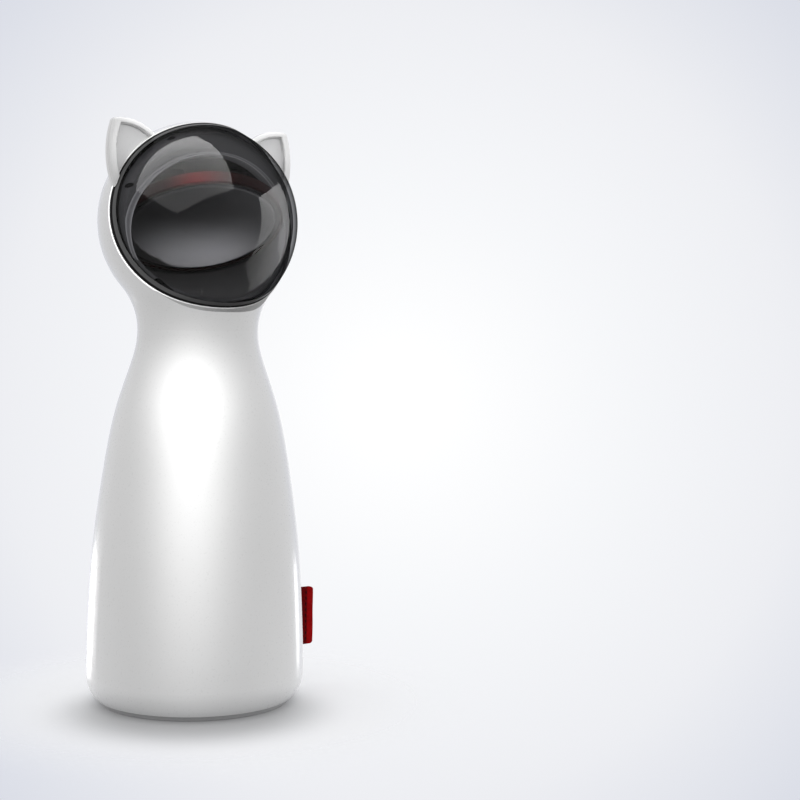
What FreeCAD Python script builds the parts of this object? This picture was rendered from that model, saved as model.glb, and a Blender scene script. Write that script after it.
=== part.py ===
"""Automatic cat laser toy: a cat-shaped casing with a tinted dome, a spinning canted mirror lit by a fixed
laser in the neck, a geared motor, a battery tube in the base, and the electronics.

Millimetres. +Z up, the face looks along -Y, the origin is the middle of the rest face.
Each function makes one separate piece; build() writes one STEP file per piece.
"""
import FreeCAD, Part
import math
import os
from FreeCAD import Placement, Rotation, Vector

# ---- overall form ------------------------------------------------------------------------------------
belly_radius = 39.0        # widest radius of the body
belly_height = 10.3        # where the bottom corner runs into the side
neck_radius = 21.5         # narrowest radius, under the head
neck_height = 133.4
head_radius = 35.7
head_height = 171.8        # centre of the round head
corner_radius = 11.9       # rounding of the body's bottom corner
foot_height = 1.9          # rubber ring under the casing
wall = 2.0                 # casing wall
side_shape = [(0.18, 0.966), (0.41, 0.851), (0.54, 0.73), (0.68, 0.571), (0.786, 0.40), (0.8925, 0.154),
              (0.964, 0.017)]  # height share up the side, share of the belly-to-neck narrowing left

# ---- visor -------------------------------------------------------------------------------------------
visor_tilt = 8.9           # degrees that the visor looks up
visor_depth = 2.15         # from the head's centre plane to the middle of the visor edge
visor_bow = 18.2           # how far the edge curves forward at top and bottom
visor_inset = 0.2          # the visor edge's top and bottom lie this much inside the head's outline
lens_step = 0.4            # the lens lies this much below the casing
lens_wall = 1.6
lens_gap = 0.3
skirt_wall = 1.2
skirt_depth = 3.0
seat_thick = 1.8
fit_gap = 0.2              # between nested inner shells

# ---- bezel mask --------------------------------------------------------------------------------------
mask_wall = 1.3
window_half_width = 32.0
window_half_height = 25.75
window_drop = 5.0
window_plane = 12.35       # window plane ahead of the head's centre
window_slope = 0.215
window_depth = 4.0         # turned-in rim round the window
lip_proud = 0.45           # the window's lip stands this much ahead of the mask
mask_hole_radius = 0.9
mask_holes = ((31.3, 66.0), (72.5, 74.6))   # clock angle, angle off the visor's middle; mirrored
low_hole_radius = 0.8
low_hole_polar = 75.7
notch_clock = 141.5
notch_polar = 77.0
notch_size = (8.3, 3.4, 3.2)            # round the rim, along the visor, deep
finger_size = (4.4, 2.2)                # snap finger in each notch: round the rim, along the visor

# ---- ears --------------------------------------------------------------------------------------------
# each corner: angle from straight up, and how far outside the head's surface it lies
ear_root_high = (31.9, -1.0)
ear_crown = (38.9, 8.4)
ear_tip = (45.1, 12.9)
ear_bulge = (59.6, 6.4)
ear_root_low = (74.1, -0.8)
ear_front = -3.5
ear_back = -0.3
ear_top_rim = 2.0          # width of the rim along the ear's upper edge
ear_side_rim = 2.9         # and along its outer edge
ear_recess = 1.3           # the panel inside the rim lies this deep
ear_tip_round = 1.6
ear_rim_round = 1.1        # rounding of the rim's outer edge
ear_panel_round = 0.6      # and of its inner edge

# ---- spinning mirror ---------------------------------------------------------------------------------
axis_tilt = 61.0           # spin axis below the horizontal, looking forward
axis_forward = 1.3         # the disc's middle, ahead of and below the head's centre
axis_drop = 2.2
cant = 5.8                 # the mirror's slant against its spin axis
mirror_radius = 26.85
mirror_thick = 1.6
holder_radius = 28.7
holder_thick = 1.6
mirror_lip = 0.9           # how far the mirror stands out of its holder
ring_radius = 29.8
ring_front = 0.3           # the red rim starts this far behind the mirror's face
ring_grip = 2.0            # and its back lip reaches this far inwards
mirror_edge = 0.4
hub_radius = 5.0
hub_end = 8.4
hub_sink = 0.5             # the hub and the ribs start this deep in the holder's floor
shaft_seat = 1.2           # the shaft's blind end, behind the mirror
rib_half = 0.6             # three ribs on the holder's back
rib_height = 2.2
rib_end = 4.0              # they stop this far inside the mirror's edge
shaft_radius = 1.5
running_gap = 0.05
gear_module = 0.5
gear_teeth = 36
pinion_teeth = 12
gear_start = 9.0
gear_width = 2.6
pressure_angle = 20.0
backlash = 0.12
web_holes = 5
web_hole_radius = 1.5
plate_start = 13.0
plate_thick = 2.0
plate_front = 18.5         # the motor plate is cut off this far in front of the shaft
band_start = 6.4
band_end = 17.0
bush_radius = 3.0
bush_top = 17.0
bush_flange = 1.2          # wider than the bush by this
bush_flange_thick = 0.8
clip_gap = 0.2
clip_thick = 0.6
clip_wide = 1.4
clip_mouth = 1.6
motor_radius = 6.0
motor_flat = 5.0
motor_length = 15.0
motor_shaft_radius = 0.75
motor_shaft_over = 0.4     # the shaft stands this much out of its pinion
boss_radius = 1.9
boss_height = 1.0
motor_screw_radius = 0.8
motor_screw_x = 4.3
motor_screw_depth = 1.5
motor_screw_head = (1.6, 0.8)          # radius, height
tab_x = 20.0
tab_thick = 2.2
tab_half_width = 3.5
tab_rise = 9.0             # the tabs' top, above the motor plate's centre
tab_foot = 1.5             # and how far they start below it

# ---- laser -------------------------------------------------------------------------------------------
laser_radius = 3.0
laser_length = 16.0
laser_base = 114.6
laser_nose = 2.0           # length of the wider nose
laser_nose_step = 0.6
aperture_radius = 1.2
aperture_depth = 2.5
clamp_slit = 1.2
laser_block = 6.0
laser_block_half_height = 5.5
laser_flange_y = 5.8
laser_flange_thick = 2.2
laser_flange_half = 10.5
laser_screw_x = 8.2
laser_screw_z = 122.6
beam_hole = 3.2

# ---- base and batteries ------------------------------------------------------------------------------
base_thick = 2.5
base_gap = 0.2
foot_inset = 1.4           # the rubber ring lies this much inside the casing's bottom edge
foot_width = 3.2
cell_radius = 7.25
cell_length = 49.3
cell_nub = 1.2
cell_pitch = 7.55
cell_room = 0.5
nub_radius = 2.75
contact_room = 3.4
strip_thick = 0.4          # bent contact strips
strip_half_width = 3.0
strip_reach = 5.6
strip_tongue = 1.4
strip_slope = 2.2          # where the bend starts, from the strip's end
tube_wall = 1.4
collar_thick = 1.5
door_gap = 0.3
door_lap = 1.1             # the door reaches this far past the tube
door_thick = 2.0
collar_reach = 3.0         # collar round the door opening
door_seat = 0.15           # between the door and the collar over it
pin_radius = 0.8
hinge_room = 0.6           # wider gap beside the hinge, for the door's swing
hinge_land = 0.9           # between the door opening and the knuckles
knuckle_radius = 1.4
knuckle_x = (5.0, 9.0)
pin_half_length = 12.0
base_screw_y = 14.0
post_radius = 3.0
post_height = 12.0
post_rib = 1.6
post_room = 0.5            # between a post and the collar
base_screw_length = 8.0
latch_half = 5.0
latch_thick = 0.9
latch_height = 3.2
finger_room = 2.2
grip_count = 4             # thumb grooves in the door
grip_pitch = 1.6
grip_half = 6.0
grip_depth = 0.5

# ---- electronics -------------------------------------------------------------------------------------
board_thick = 1.6
board_half_width = 14.5
board_z = (66.0, 106.0)
board_post_radius = 2.4
button_z = 98.0
button_radius = 5.5
button_gap = 0.08
button_travel = 0.8
button_proud = 0.8
collar_wall = 1.2
collar_length = 2.4
button_flange = 1.6
switch_height = 3.6
plunger_radius = 1.7
usb_z = 24.0
usb_half_width = 3.9
usb_half_height = 1.4
usb_length = 5.6

# ---- fasteners ---------------------------------------------------------------------------------------
screw_radius = 1.1
screw_head_radius = 2.1
screw_head_height = 1.4
screw_slot_radius = 0.35
screw_slot_reach = 1.2
screw_fit = 0.1            # clearance hole, over the thread's radius
head_fit = 0.2             # and round a sunk head
case_screw_length = 13.0
case_pilot = 9.0
small_screw_length = 6.5   # laser flange and motor plate
small_pilot = 6.0
board_screw_length = 4.5
board_pilot = 3.5
case_screws = ((22.0, 80.0), (14.5, 115.6))   # across, height; mirrored left and right
case_post_radius = 3.2
lip_reach = 1.5            # the rear half's seam lip
lip_wall = 1.0
screw_floor = 7.0          # the case screws' heads stop this far behind the seam

# ---- fabric side tag ---------------------------------------------------------------------------------
tag_out = 49.9             # from the middle of the body to the tag's free end
tag_z = (14.6, 36.6)
tag_thick = 1.4
tag_grip = 2.6             # how far the tag reaches inside the wall
tag_round = 1.4            # its free corners
tag_fit = 0.05             # between the tag and its slot

# ---- worked out from the sizes above -----------------------------------------------------------------
HEAD = Vector(0, 0, head_height)
tilt = math.radians(visor_tilt)
LOOK = Vector(0, -math.cos(tilt), math.sin(tilt))     # out of the visor
RISE = Vector(0, math.sin(tilt), math.cos(tilt))      # up along the visor
X_AXIS = Vector(1, 0, 0)
Y_AXIS = Vector(0, 1, 0)
Z_AXIS = Vector(0, 0, 1)
VISOR = Placement(HEAD, Rotation(X_AXIS, RISE, LOOK, "XYZ"))
spin = math.radians(axis_tilt)
SHAFT = Vector(0, math.cos(spin), math.sin(spin))     # from the mirror back along its shaft
SIDE = Vector(0, math.sin(spin), -math.cos(spin))     # square to the shaft, towards the back
HUB = HEAD + Vector(0, -axis_forward, -axis_drop)
SPIN = Placement(HUB, Rotation(X_AXIS, SIDE, SHAFT, "XYZ"))
gear_radius = gear_module * gear_teeth / 2
pinion_radius = gear_module * pinion_teeth / 2
motor_offset = gear_radius + pinion_radius
ring_depth = mirror_thick + holder_thick + ring_radius - holder_radius
visor_half_height = head_radius - visor_inset
lens_outer = head_radius - lens_step
lens_inner = lens_outer - lens_wall
skirt_outer = head_radius - wall - fit_gap
skirt_inner = skirt_outer - skirt_wall
shoulder = lens_gap + lens_wall            # thick band where the skirt meets the window
mask_front = lens_inner - fit_gap
mask_rear = skirt_inner - fit_gap
liner_outer = head_radius - wall - 2 * fit_gap
liner_inner = liner_outer - skirt_wall
tube_half = cell_pitch + cell_radius + cell_room
tube_outer = tube_half + tube_wall
door_half = tube_outer + door_lap
opening_half = door_half + door_gap
collar_half = opening_half + collar_reach
base_screw_x = collar_half + post_radius + post_room
pin_y = opening_half + knuckle_radius + hinge_land
cell_base = foot_height + door_thick + contact_room
ceiling_z = cell_base + cell_length + contact_room
pin_z = foot_height + knuckle_radius
quarters = [(side, back) for side in (-1, 1) for back in (-1, 1)]
big = 4 * head_height


# ---- small shape helpers -----------------------------------------------------------------------------
def rod(radius, start, end):
    """Round bar from one point to another."""
    return Part.makeCylinder(radius, (end - start).Length, start, end - start)


def block(x0, x1, y0, y1, z0, z1):
    """Box between two corners."""
    return Part.makeBox(x1 - x0, y1 - y0, z1 - z0, Vector(x0, y0, z0))


def ball(radius):
    """Sphere about the head's centre."""
    return Part.makeSphere(radius, HEAD)


def join(shapes):
    """Fuse a list of solids and merge their coplanar faces."""
    return shapes[0].fuse(shapes[1:]).removeSplitter()


def along(a, x=0.0, s=0.0):
    """Point a along the shaft, x across and s towards the back."""
    return HUB + SHAFT * a + X_AXIS * x + SIDE * s


def polygon_prism(points, direction):
    """Prism over a closed outline of straight edges."""
    return Part.Face(Part.makePolygon(points + points[:1])).extrude(direction)


def front_half():
    return block(-big, big, -big, 0, -big, big)


def rear_half():
    return block(-big, big, 0, big, -big, big)


def save(name, shapes):
    """Write one sub-part; a list becomes a group of separate solids."""
    shape = Part.makeCompound(shapes) if isinstance(shapes, list) else shapes
    shape.exportStep(os.path.join("parts", name + ".step"))


# ---- casing ------------------------------------------------------------------------------------------
def casing_form(inset, closed_bottom=True):
    """Solid of revolution of the whole cat body, moved inwards by inset.

    Bottom corner arc, tapered side spline, neck fillet tangent to the head, then the head's sphere.
    """
    corner = (belly_radius - corner_radius, belly_height)
    turn = corner_radius - inset
    low = belly_height - foot_height
    bottom_r = corner[0] + math.sqrt(turn ** 2 - low ** 2)
    half_angle = math.asin(low / turn) / 2
    mid_corner = Vector(corner[0] + turn * math.cos(half_angle), 0, corner[1] - turn * math.sin(half_angle))
    side_start = Vector(belly_radius - inset, 0, belly_height)
    side_end = Vector(neck_radius - inset, 0, neck_height)
    side_points = [side_start]
    for height_share, width_share in side_shape:
        radius = neck_radius + (belly_radius - neck_radius) * width_share - inset
        side_points.append(Vector(radius, 0, belly_height + (neck_height - belly_height) * height_share))
    side_points.append(side_end)
    side = Part.BSplineCurve()
    side.interpolate(Points=side_points, InitialTangent=Z_AXIS, FinalTangent=Z_AXIS)
    rise = head_height - neck_height
    fillet = (rise ** 2 + neck_radius ** 2 - head_radius ** 2) / (2 * (head_radius - neck_radius))
    centre = Vector(neck_radius + fillet, 0, neck_height)
    to_centre = (centre - HEAD).normalize()
    meet = HEAD + to_centre * (head_radius - inset)
    sweep = math.atan2(meet.z - centre.z, centre.x - meet.x) / 2
    mid_fillet = centre + Vector(-math.cos(sweep), 0, math.sin(sweep)) * (fillet + inset)
    mid_angle = (math.atan2(to_centre.z, to_centre.x) + math.pi / 2) / 2
    mid_head = HEAD + Vector(math.cos(mid_angle), 0, math.sin(mid_angle)) * (head_radius - inset)
    pole = HEAD + Z_AXIS * (head_radius - inset)
    bottom = foot_height if closed_bottom else foot_height - wall
    edges = [Part.Arc(Vector(bottom_r, 0, foot_height), mid_corner, side_start).toShape(), side.toShape(),
             Part.Arc(side_end, mid_fillet, meet).toShape(), Part.Arc(meet, mid_head, pole).toShape(),
             Part.LineSegment(pole, Vector(0, 0, bottom)).toShape()]
    outer = Vector(bottom_r, 0, bottom)
    edges.append(Part.LineSegment(Vector(0, 0, bottom), outer).toShape())
    if not closed_bottom:
        edges.append(Part.LineSegment(outer, Vector(bottom_r, 0, foot_height)).toShape())
    wire = Part.Wire(Part.__sortEdges__(edges))
    return Part.Face(wire).revolve(Vector(0, 0, 0), Z_AXIS, 360)


def visor_block(shift):
    """Everything ahead of the visor edge: a long half-oval bar across the head, moved forward by shift."""
    middle = visor_depth + visor_bow + shift
    oval = Part.Ellipse(Vector(0, visor_half_height, middle), Vector(0, 0, middle - visor_bow),
                        Vector(0, 0, middle))
    bar = Part.Face(Part.Wire(oval.toShape())).extrude(X_AXIS * big)
    bar.translate(X_AXIS * (-big / 2))
    ahead = Part.makeBox(big, 2 * visor_half_height, big,
                         Vector(-big / 2, -visor_half_height, middle))
    solid = bar.fuse(ahead)
    solid.Placement = VISOR
    return solid


def round_edges(solid, radius, chosen):
    """Round the edges that a test picks."""
    return solid.makeFillet(radius, [edge for edge in solid.Edges if chosen(edge)])


def pointed_oval(inset_top, inset_side, start, end, tip_round):
    """Overlap of the two round discs that shape the right ear, from one depth to another, its tips rounded."""
    def at(corner):
        angle = math.radians(corner[0])
        reach = head_radius + corner[1]
        return Vector(reach * math.sin(angle), 0, head_height + reach * math.cos(angle))

    discs = []
    for corners, inset in (((ear_root_high, ear_crown, ear_tip), inset_top),
                           ((ear_tip, ear_bulge, ear_root_low), inset_side)):
        circle = Part.Arc(*[at(corner) for corner in corners]).toShape().Curve
        middle = Vector(circle.Center.x, start, circle.Center.z)
        discs.append(Part.makeCylinder(circle.Radius - inset, end - start, middle, Y_AXIS))
    oval = discs[0].common(discs[1])
    return round_edges(oval, tip_round, lambda edge: isinstance(edge.Curve, Part.Line)
                       and edge.Vertexes[0].Point.distanceToPoint(at(ear_tip)) < 2 * ear_side_rim + end - start)


def ear(side):
    """Cat ear on the head's side: a pointed oval with a rounded rim round a sunk panel."""
    def at_front(edge):
        return max(point.Point.y for point in edge.Vertexes) < ear_front + fit_gap / 2

    body = pointed_oval(0, 0, ear_front, ear_back, ear_tip_round)
    body = round_edges(body, ear_rim_round, at_front)
    panel = pointed_oval(ear_top_rim, ear_side_rim, ear_front - ear_recess, ear_front + ear_recess,
                         ear_panel_round)
    panel = round_edges(panel, ear_panel_round, lambda edge: min(
        point.Point.y for point in edge.Vertexes) > ear_front + ear_recess - fit_gap / 2)
    body = body.cut(panel)
    body = round_edges(body, ear_panel_round, lambda edge: at_front(edge) and edge.distToShape(panel)[0] < 0.01)
    return body if side > 0 else body.mirror(Vector(0, 0, 0), X_AXIS)


def wall_post(radius, start, end):
    """Post that ends inside the casing wall."""
    return rod(radius, start, end).common(casing_form(wall / 2))


def base_screw(side, back):
    """Bottom middle of one base screw hole; side and back are +1 or -1."""
    return Vector(side * base_screw_x, back * base_screw_y, foot_height)


def base_post(side, back):
    """Upright screw post on a rib from the casing's lower wall, with its pilot hole."""
    foot = base_screw(side, back) + Z_AXIS * base_thick
    post = rod(post_radius, foot, foot + Z_AXIS * post_height)
    rib = Part.makeBox(belly_radius, post_rib, post_height, Vector(0, -post_rib / 2, 0))
    rib.Placement = Placement(foot, Rotation(Z_AXIS, math.degrees(math.atan2(foot.y, foot.x))))
    pilot = rod(screw_radius, foot - Z_AXIS, foot + Z_AXIS * base_screw_length)
    return join([post, rib]).common(casing_form(wall / 2)).cut(pilot)


def tag_slot():
    """Notch in the seam that the fabric tag passes through."""
    reach = belly_radius + wall
    half = tag_thick / 2 + tag_fit
    return block(0, reach, -half, half, tag_z[0] - 2 * tag_fit, tag_z[1] + 2 * tag_fit)


def front_shell():
    """Front of the casing: face opening with its seat ledge, both ears and the screw posts."""
    form = casing_form(0)
    shell = form.cut(casing_form(wall, False)).cut(visor_block(0).common(block(
        -big, big, -big, big, neck_height, big)))
    seat = visor_block(-seat_thick).cut(visor_block(0)).common(form).cut(ball(head_radius - wall))
    lens_room = visor_block(0).common(ball(head_radius - 0.05))
    ears = [ear(side).cut(ball(head_radius - wall / 2)).cut(lens_room) for side in (-1, 1)]
    shell = join([shell, seat] + ears).common(front_half())
    posts = [base_post(side, -1) for side in (-1, 1)]
    for x, z in case_screws:
        for side in (-1, 1):
            foot = Vector(side * x, 0, z)
            post = wall_post(case_post_radius, foot, foot - Y_AXIS * belly_radius)
            posts.append(post.cut(rod(screw_radius, foot, foot - Y_AXIS * case_pilot)))
    return join([shell] + posts).cut(tag_slot())


def rear_shell():
    """Back of the casing: seam lip, counterbored screw posts, button collar, socket window and posts."""
    shell = casing_form(0).cut(casing_form(wall, False)).common(rear_half())
    lip_base = tag_z[1] + 3
    lip_zone = block(-big, big, -lip_reach, fit_gap, lip_base, neck_height)
    root_zone = block(-big, big, 0, lip_reach, lip_base, neck_height)
    inner = casing_form(wall + lip_wall)
    lip = [casing_form(wall + 0.1).cut(inner).common(lip_zone),
           casing_form(wall / 2).cut(inner).common(root_zone)]
    solids = [shell, join(lip)] + [base_post(side, 1) for side in (-1, 1)]
    bores = []
    for x, z in case_screws:
        for side in (-1, 1):
            foot = Vector(side * x, 0, z)
            solids.append(wall_post(case_post_radius, foot, foot + Y_AXIS * belly_radius))
            bores.append(rod(screw_radius + screw_fit, foot - Y_AXIS, foot + Y_AXIS * belly_radius))
            bores.append(rod(screw_head_radius + head_fit, foot + Y_AXIS * screw_floor,
                             foot + Y_AXIS * 2 * belly_radius))
    for x in (-laser_screw_x, laser_screw_x):
        foot = Vector(x, laser_flange_y + laser_flange_thick, laser_screw_z)
        solids.append(wall_post(board_post_radius, foot, foot + Y_AXIS * belly_radius))
        bores.append(rod(screw_radius, foot - Y_AXIS, foot + Y_AXIS * small_pilot))
    for x, z in board_screw_places():
        foot = Vector(x, board_back_y(), z)
        solids.append(wall_post(board_post_radius, foot, foot + Y_AXIS * belly_radius))
        bores.append(rod(screw_radius, foot - Y_AXIS, foot + Y_AXIS * board_pilot))
    for x in (-tab_x, tab_x):
        foot = tab_screw(x)
        solids.append(wall_post(board_post_radius, foot, foot + Y_AXIS * belly_radius))
        bores.append(rod(screw_radius, foot - Y_AXIS, foot + Y_AXIS * small_pilot))
    button = Vector(0, button_inner_y(), button_z)
    solids.append(wall_post(button_radius + button_gap + collar_wall, button, button + Y_AXIS * belly_radius))
    bores.append(rod(button_radius + button_gap, button - Y_AXIS, button + Y_AXIS * belly_radius))
    bores.append(block(-usb_half_width - 0.3, usb_half_width + 0.3, belly_radius / 2, 2 * belly_radius,
                       usb_z - usb_half_height - 0.3, usb_z + usb_half_height + 0.3))
    solids.append(usb_shelf())
    return join(solids).cut(bores).cut(tag_slot())


# ---- visor pieces ------------------------------------------------------------------------------------
def lens_dome():
    """Tinted dome: a spherical window with a stepped skirt that tucks inside the casing's rim."""
    edge = visor_block(lens_gap)
    dome = ball(lens_outer).cut(ball(lens_inner)).common(edge)
    step = ball(lens_inner + lens_wall / 4).cut(ball(skirt_inner)).common(edge).cut(visor_block(shoulder))
    skirt = ball(skirt_outer).cut(ball(skirt_inner)).common(visor_block(-skirt_depth))
    return join([dome, step, skirt.cut(visor_block(lens_gap + lens_wall / 4))])


def window_plane_cut(depth):
    """Everything behind the sloping window plane, moved back by depth."""
    slab = Part.makeBox(big, big, big, Vector(-big / 2, -big / 2, -big))
    slope = math.degrees(math.atan(window_slope))
    slab.Placement = Placement(Vector(0, 0, window_plane - depth), Rotation(X_AXIS, slope))
    slab.Placement = VISOR.multiply(slab.Placement)
    return slab


def window_bar(grow):
    """Oval bar that cuts the mask's window."""
    oval = Part.Ellipse(Vector(window_half_width + grow, -window_drop, 0),
                        Vector(0, window_half_height + grow - window_drop, 0), Vector(0, -window_drop, 0))
    bar = Part.Face(Part.Wire(oval.toShape())).extrude(Z_AXIS * 2 * head_radius)
    bar.translate(Z_AXIS * -head_radius)
    bar.Placement = VISOR
    return bar


def visor_point(clock, polar, radius):
    """Point on a sphere about the head: clock angle round the visor, polar angle off its middle."""
    c, p = math.radians(clock), math.radians(polar)
    return HEAD + (X_AXIS * math.sin(c) + RISE * math.cos(c)) * (radius * math.sin(p)) \
        + LOOK * (radius * math.cos(p))


def on_mask(side, clock, polar, shape):
    """Move a shape made at the origin to a point of the mask: X round the rim, Y outwards, Z along the visor."""
    spot = visor_point(side * clock, polar, mask_front)
    shape.Placement = Placement(spot, VISOR.Rotation.multiply(Rotation(Z_AXIS, -side * clock)))
    return shape


def bezel_mask():
    """Black surround inside the dome: a hollow moulded ring with an oval window, pin holes and snap notches."""
    def filled(inset, deeper):
        ahead = ball(mask_front - inset).common(visor_block(shoulder + fit_gap + inset))
        behind = ball(mask_rear - inset).common(visor_block(-skirt_depth - deeper))
        return join([ahead, behind])

    whole = filled(0, 0)
    solid = whole.common(window_plane_cut(0))
    hugging_wall = solid.cut(filled(mask_wall, skirt_depth))
    front_plate = solid.cut(window_plane_cut(mask_wall)).cut(window_bar(0))
    rim_zone = whole.common(window_plane_cut(-lip_proud)).cut(window_plane_cut(window_depth))
    window_rim = rim_zone.common(window_bar(mask_wall)).cut(window_bar(0))
    mask = join([hugging_wall, front_plate, window_rim])
    wide, along_visor, deep = notch_size
    finger_wide, finger_tall = finger_size
    cuts = []
    fingers = []
    for side in (-1, 1):
        for clock, polar in mask_holes:
            spot = visor_point(side * clock, polar, mask_front)
            out = (spot - HEAD).normalize()
            cuts.append(rod(mask_hole_radius, spot - out * 3, spot + out))
        notch = block(-wide / 2, wide / 2, -deep, deep, -along_visor / 2, along_visor)
        cuts.append(on_mask(side, notch_clock, notch_polar, notch))
        root = -along_visor / 2 - mask_wall
        finger = block(-finger_wide / 2, finger_wide / 2, -deep, -deep + mask_wall, root, root + finger_tall)
        fingers.append(on_mask(side, notch_clock, notch_polar, finger))
    low_spot = visor_point(180, low_hole_polar, mask_front)
    cuts.append(rod(low_hole_radius, low_spot - (low_spot - HEAD).normalize() * 3, low_spot + LOOK))
    return join([mask.cut(cuts)] + [finger.common(whole) for finger in fingers])


def behind_visor():
    """The part of space that lies behind the lens skirt."""
    return ball(head_radius).cut(visor_block(-skirt_depth - fit_gap))


def below_band(a):
    """Half space on the mirror's side of a plane square to the shaft."""
    slab = Part.makeBox(big, big, big, Vector(-big / 2, -big / 2, a - big))
    slab.Placement = SPIN
    return slab


def inner_bowl():
    """Dark bowl under the mirror that hides the neck, with a hole for the beam."""
    shell = ball(liner_outer).cut(ball(liner_inner)).common(behind_visor()).common(below_band(band_start - 0.1))
    return shell.cut(rod(beam_hole, HEAD - Z_AXIS * 2 * head_radius, HEAD))


# ---- mirror and drive --------------------------------------------------------------------------------
def canted(shape):
    """Put a shape made square to the shaft onto the mirror's slant."""
    shape.Placement = SPIN.multiply(Placement(Vector(0, 0, 0), Rotation(Y_AXIS, cant)))
    return shape


def revolve_outline(points):
    """Turned solid from an (r, z) outline about the local Z axis."""
    return Part.Face(Part.makePolygon([Vector(r, 0, z) for r, z in points + points[:1]])).revolve(
        Vector(0, 0, 0), Z_AXIS, 360)


def mirror_disc():
    """Dark satin mirror with a softened rim."""
    edge = mirror_edge
    return canted(revolve_outline([(0, 0), (mirror_radius - edge, 0), (mirror_radius, edge),
                                   (mirror_radius, mirror_thick), (0, mirror_thick)]))


def mirror_holder():
    """Dish that carries the mirror and the red rim, with a hub bored for the shaft."""
    floor = mirror_thick
    dish = revolve_outline([(0, floor), (mirror_radius + 0.1, floor), (mirror_radius + 0.1, mirror_lip),
                            (holder_radius, mirror_lip), (holder_radius, floor + holder_thick),
                            (0, floor + holder_thick)])
    dish = canted(dish)
    hub = rod(hub_radius, along(floor + hub_sink), along(hub_end))
    mirror_side = canted(Part.makeCylinder(mirror_radius, big, Vector(0, 0, floor), Z_AXIS * -1))
    ribs = []
    for turn in (0, 120, 240):
        rib = block(-rib_half, rib_half, hub_radius - hub_sink, mirror_radius - rib_end, floor + hub_sink,
                    floor + holder_thick + rib_height)
        rib.Placement = SPIN.multiply(Placement(Vector(0, 0, 0), Rotation(Z_AXIS, turn)))
        ribs.append(rib)
    bore = rod(shaft_radius, along(floor + shaft_seat), along(hub_end + 1))
    return join([dish, hub] + ribs).cut(mirror_side).cut(bore)


def red_ring():
    """Red rim round the mirror's holder."""
    rim = ring_radius - holder_radius
    lip = holder_radius - ring_grip
    return canted(revolve_outline([(holder_radius, ring_front), (ring_radius, ring_front),
                                   (ring_radius, ring_depth), (lip, ring_depth), (lip, ring_depth - rim),
                                   (holder_radius, ring_depth - rim)]))


def mirror_shaft():
    """Steel shaft from the hub through the bush."""
    return rod(shaft_radius, along(mirror_thick + shaft_seat), along(bush_top + clip_gap + 2 * clip_thick))


def shaft_clip():
    """Open clip that keeps the shaft in its bush."""
    start = along(bush_top + clip_gap)
    end = along(bush_top + clip_gap + clip_thick)
    ring = rod(shaft_radius + clip_wide, start, end).cut(rod(shaft_radius, start, end))
    mouth = block(-clip_mouth / 2, clip_mouth / 2, 0, 2 * shaft_radius + clip_wide, -clip_thick, 2 * clip_thick)
    mouth.Placement = Placement(start, SPIN.Rotation)
    return ring.cut(mouth)


def gear(teeth, width, bore):
    """Involute spur gear about the local Z axis, a tooth centred on local +Y."""
    pitch = gear_module * teeth / 2
    base = pitch * math.cos(math.radians(pressure_angle))
    tip = pitch + gear_module
    root = pitch - 1.2 * gear_module
    half_tooth = math.pi / (2 * teeth) - backlash / (2 * pitch)

    def involute(radius):
        angle = math.acos(min(1.0, base / radius))
        return math.tan(angle) - angle

    flank = [max(base, root + 0.05), pitch, tip]
    outline = []
    for tooth in range(teeth):
        middle = 2 * math.pi * tooth / teeth
        gap = math.pi / teeth
        left = [(r, middle - half_tooth - involute(pitch) + involute(r)) for r in flank]
        right = [(r, 2 * middle - a) for r, a in reversed(left)]
        outline += [(root, middle - gap * 0.9), (root, left[0][1])] + left + right + [(root, right[-1][1])]
    points = [Vector(r * math.sin(a), r * math.cos(a), 0) for r, a in outline]
    body = polygon_prism(points, Z_AXIS * width)
    return body.cut(Part.makeCylinder(bore, width * 3, Vector(0, 0, -width)))


def mirror_gear():
    """Driven gear on the mirror's shaft, with a web of five holes."""
    wheel = gear(gear_teeth, gear_width, shaft_radius)
    ring = (gear_radius + shaft_radius) / 2
    turns = [2 * math.pi * i / web_holes for i in range(web_holes)]
    holes = [Part.makeCylinder(web_hole_radius, 3 * gear_width,
                               Vector(ring * math.sin(turn), ring * math.cos(turn), -gear_width))
             for turn in turns]
    wheel = wheel.cut(holes)
    wheel.Placement = Placement(along(gear_start), SPIN.Rotation)
    return wheel


def motor_pinion():
    """Small gear on the motor's shaft; its gap faces the driven gear's tooth."""
    turn = 180.0 / pinion_teeth
    wheel = gear(pinion_teeth, gear_width, motor_shaft_radius)
    wheel.Placement = Placement(along(gear_start, s=motor_offset),
                                SPIN.Rotation.multiply(Rotation(Z_AXIS, turn)))
    return wheel


def motor_shaft():
    """Motor's own output shaft."""
    return rod(motor_shaft_radius, along(gear_start - motor_shaft_over, s=motor_offset),
               along(plate_start + plate_thick - 0.1, s=motor_offset))


def pan_motor():
    """Flat-sided can motor with its front boss."""
    start = plate_start + plate_thick
    can = rod(motor_radius, along(start, s=motor_offset), along(start + motor_length, s=motor_offset))
    flats = Part.makeBox(4 * motor_radius, 2 * motor_flat, big, Vector(-2 * motor_radius, -motor_flat, -big / 2))
    flats.Placement = Placement(along(start, s=motor_offset), SPIN.Rotation)
    boss = rod(boss_radius, along(start - boss_height, s=motor_offset), along(start, s=motor_offset))
    bore = rod(motor_shaft_radius + running_gap, along(start - 2, s=motor_offset), along(start, s=motor_offset))
    holes = [rod(motor_screw_radius, along(start, x, motor_offset),
                 along(start + motor_screw_depth, x, motor_offset))
             for x in (-motor_screw_x, motor_screw_x)]
    return join([can.common(flats), boss]).cut([bore] + holes)


def tab_screw(x):
    """Where the motor plate's tab meets its post."""
    y = HUB.y + SHAFT.y * (plate_start + plate_thick) + tab_thick
    return Vector(x, y, tab_top() - tab_half_width)


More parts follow.
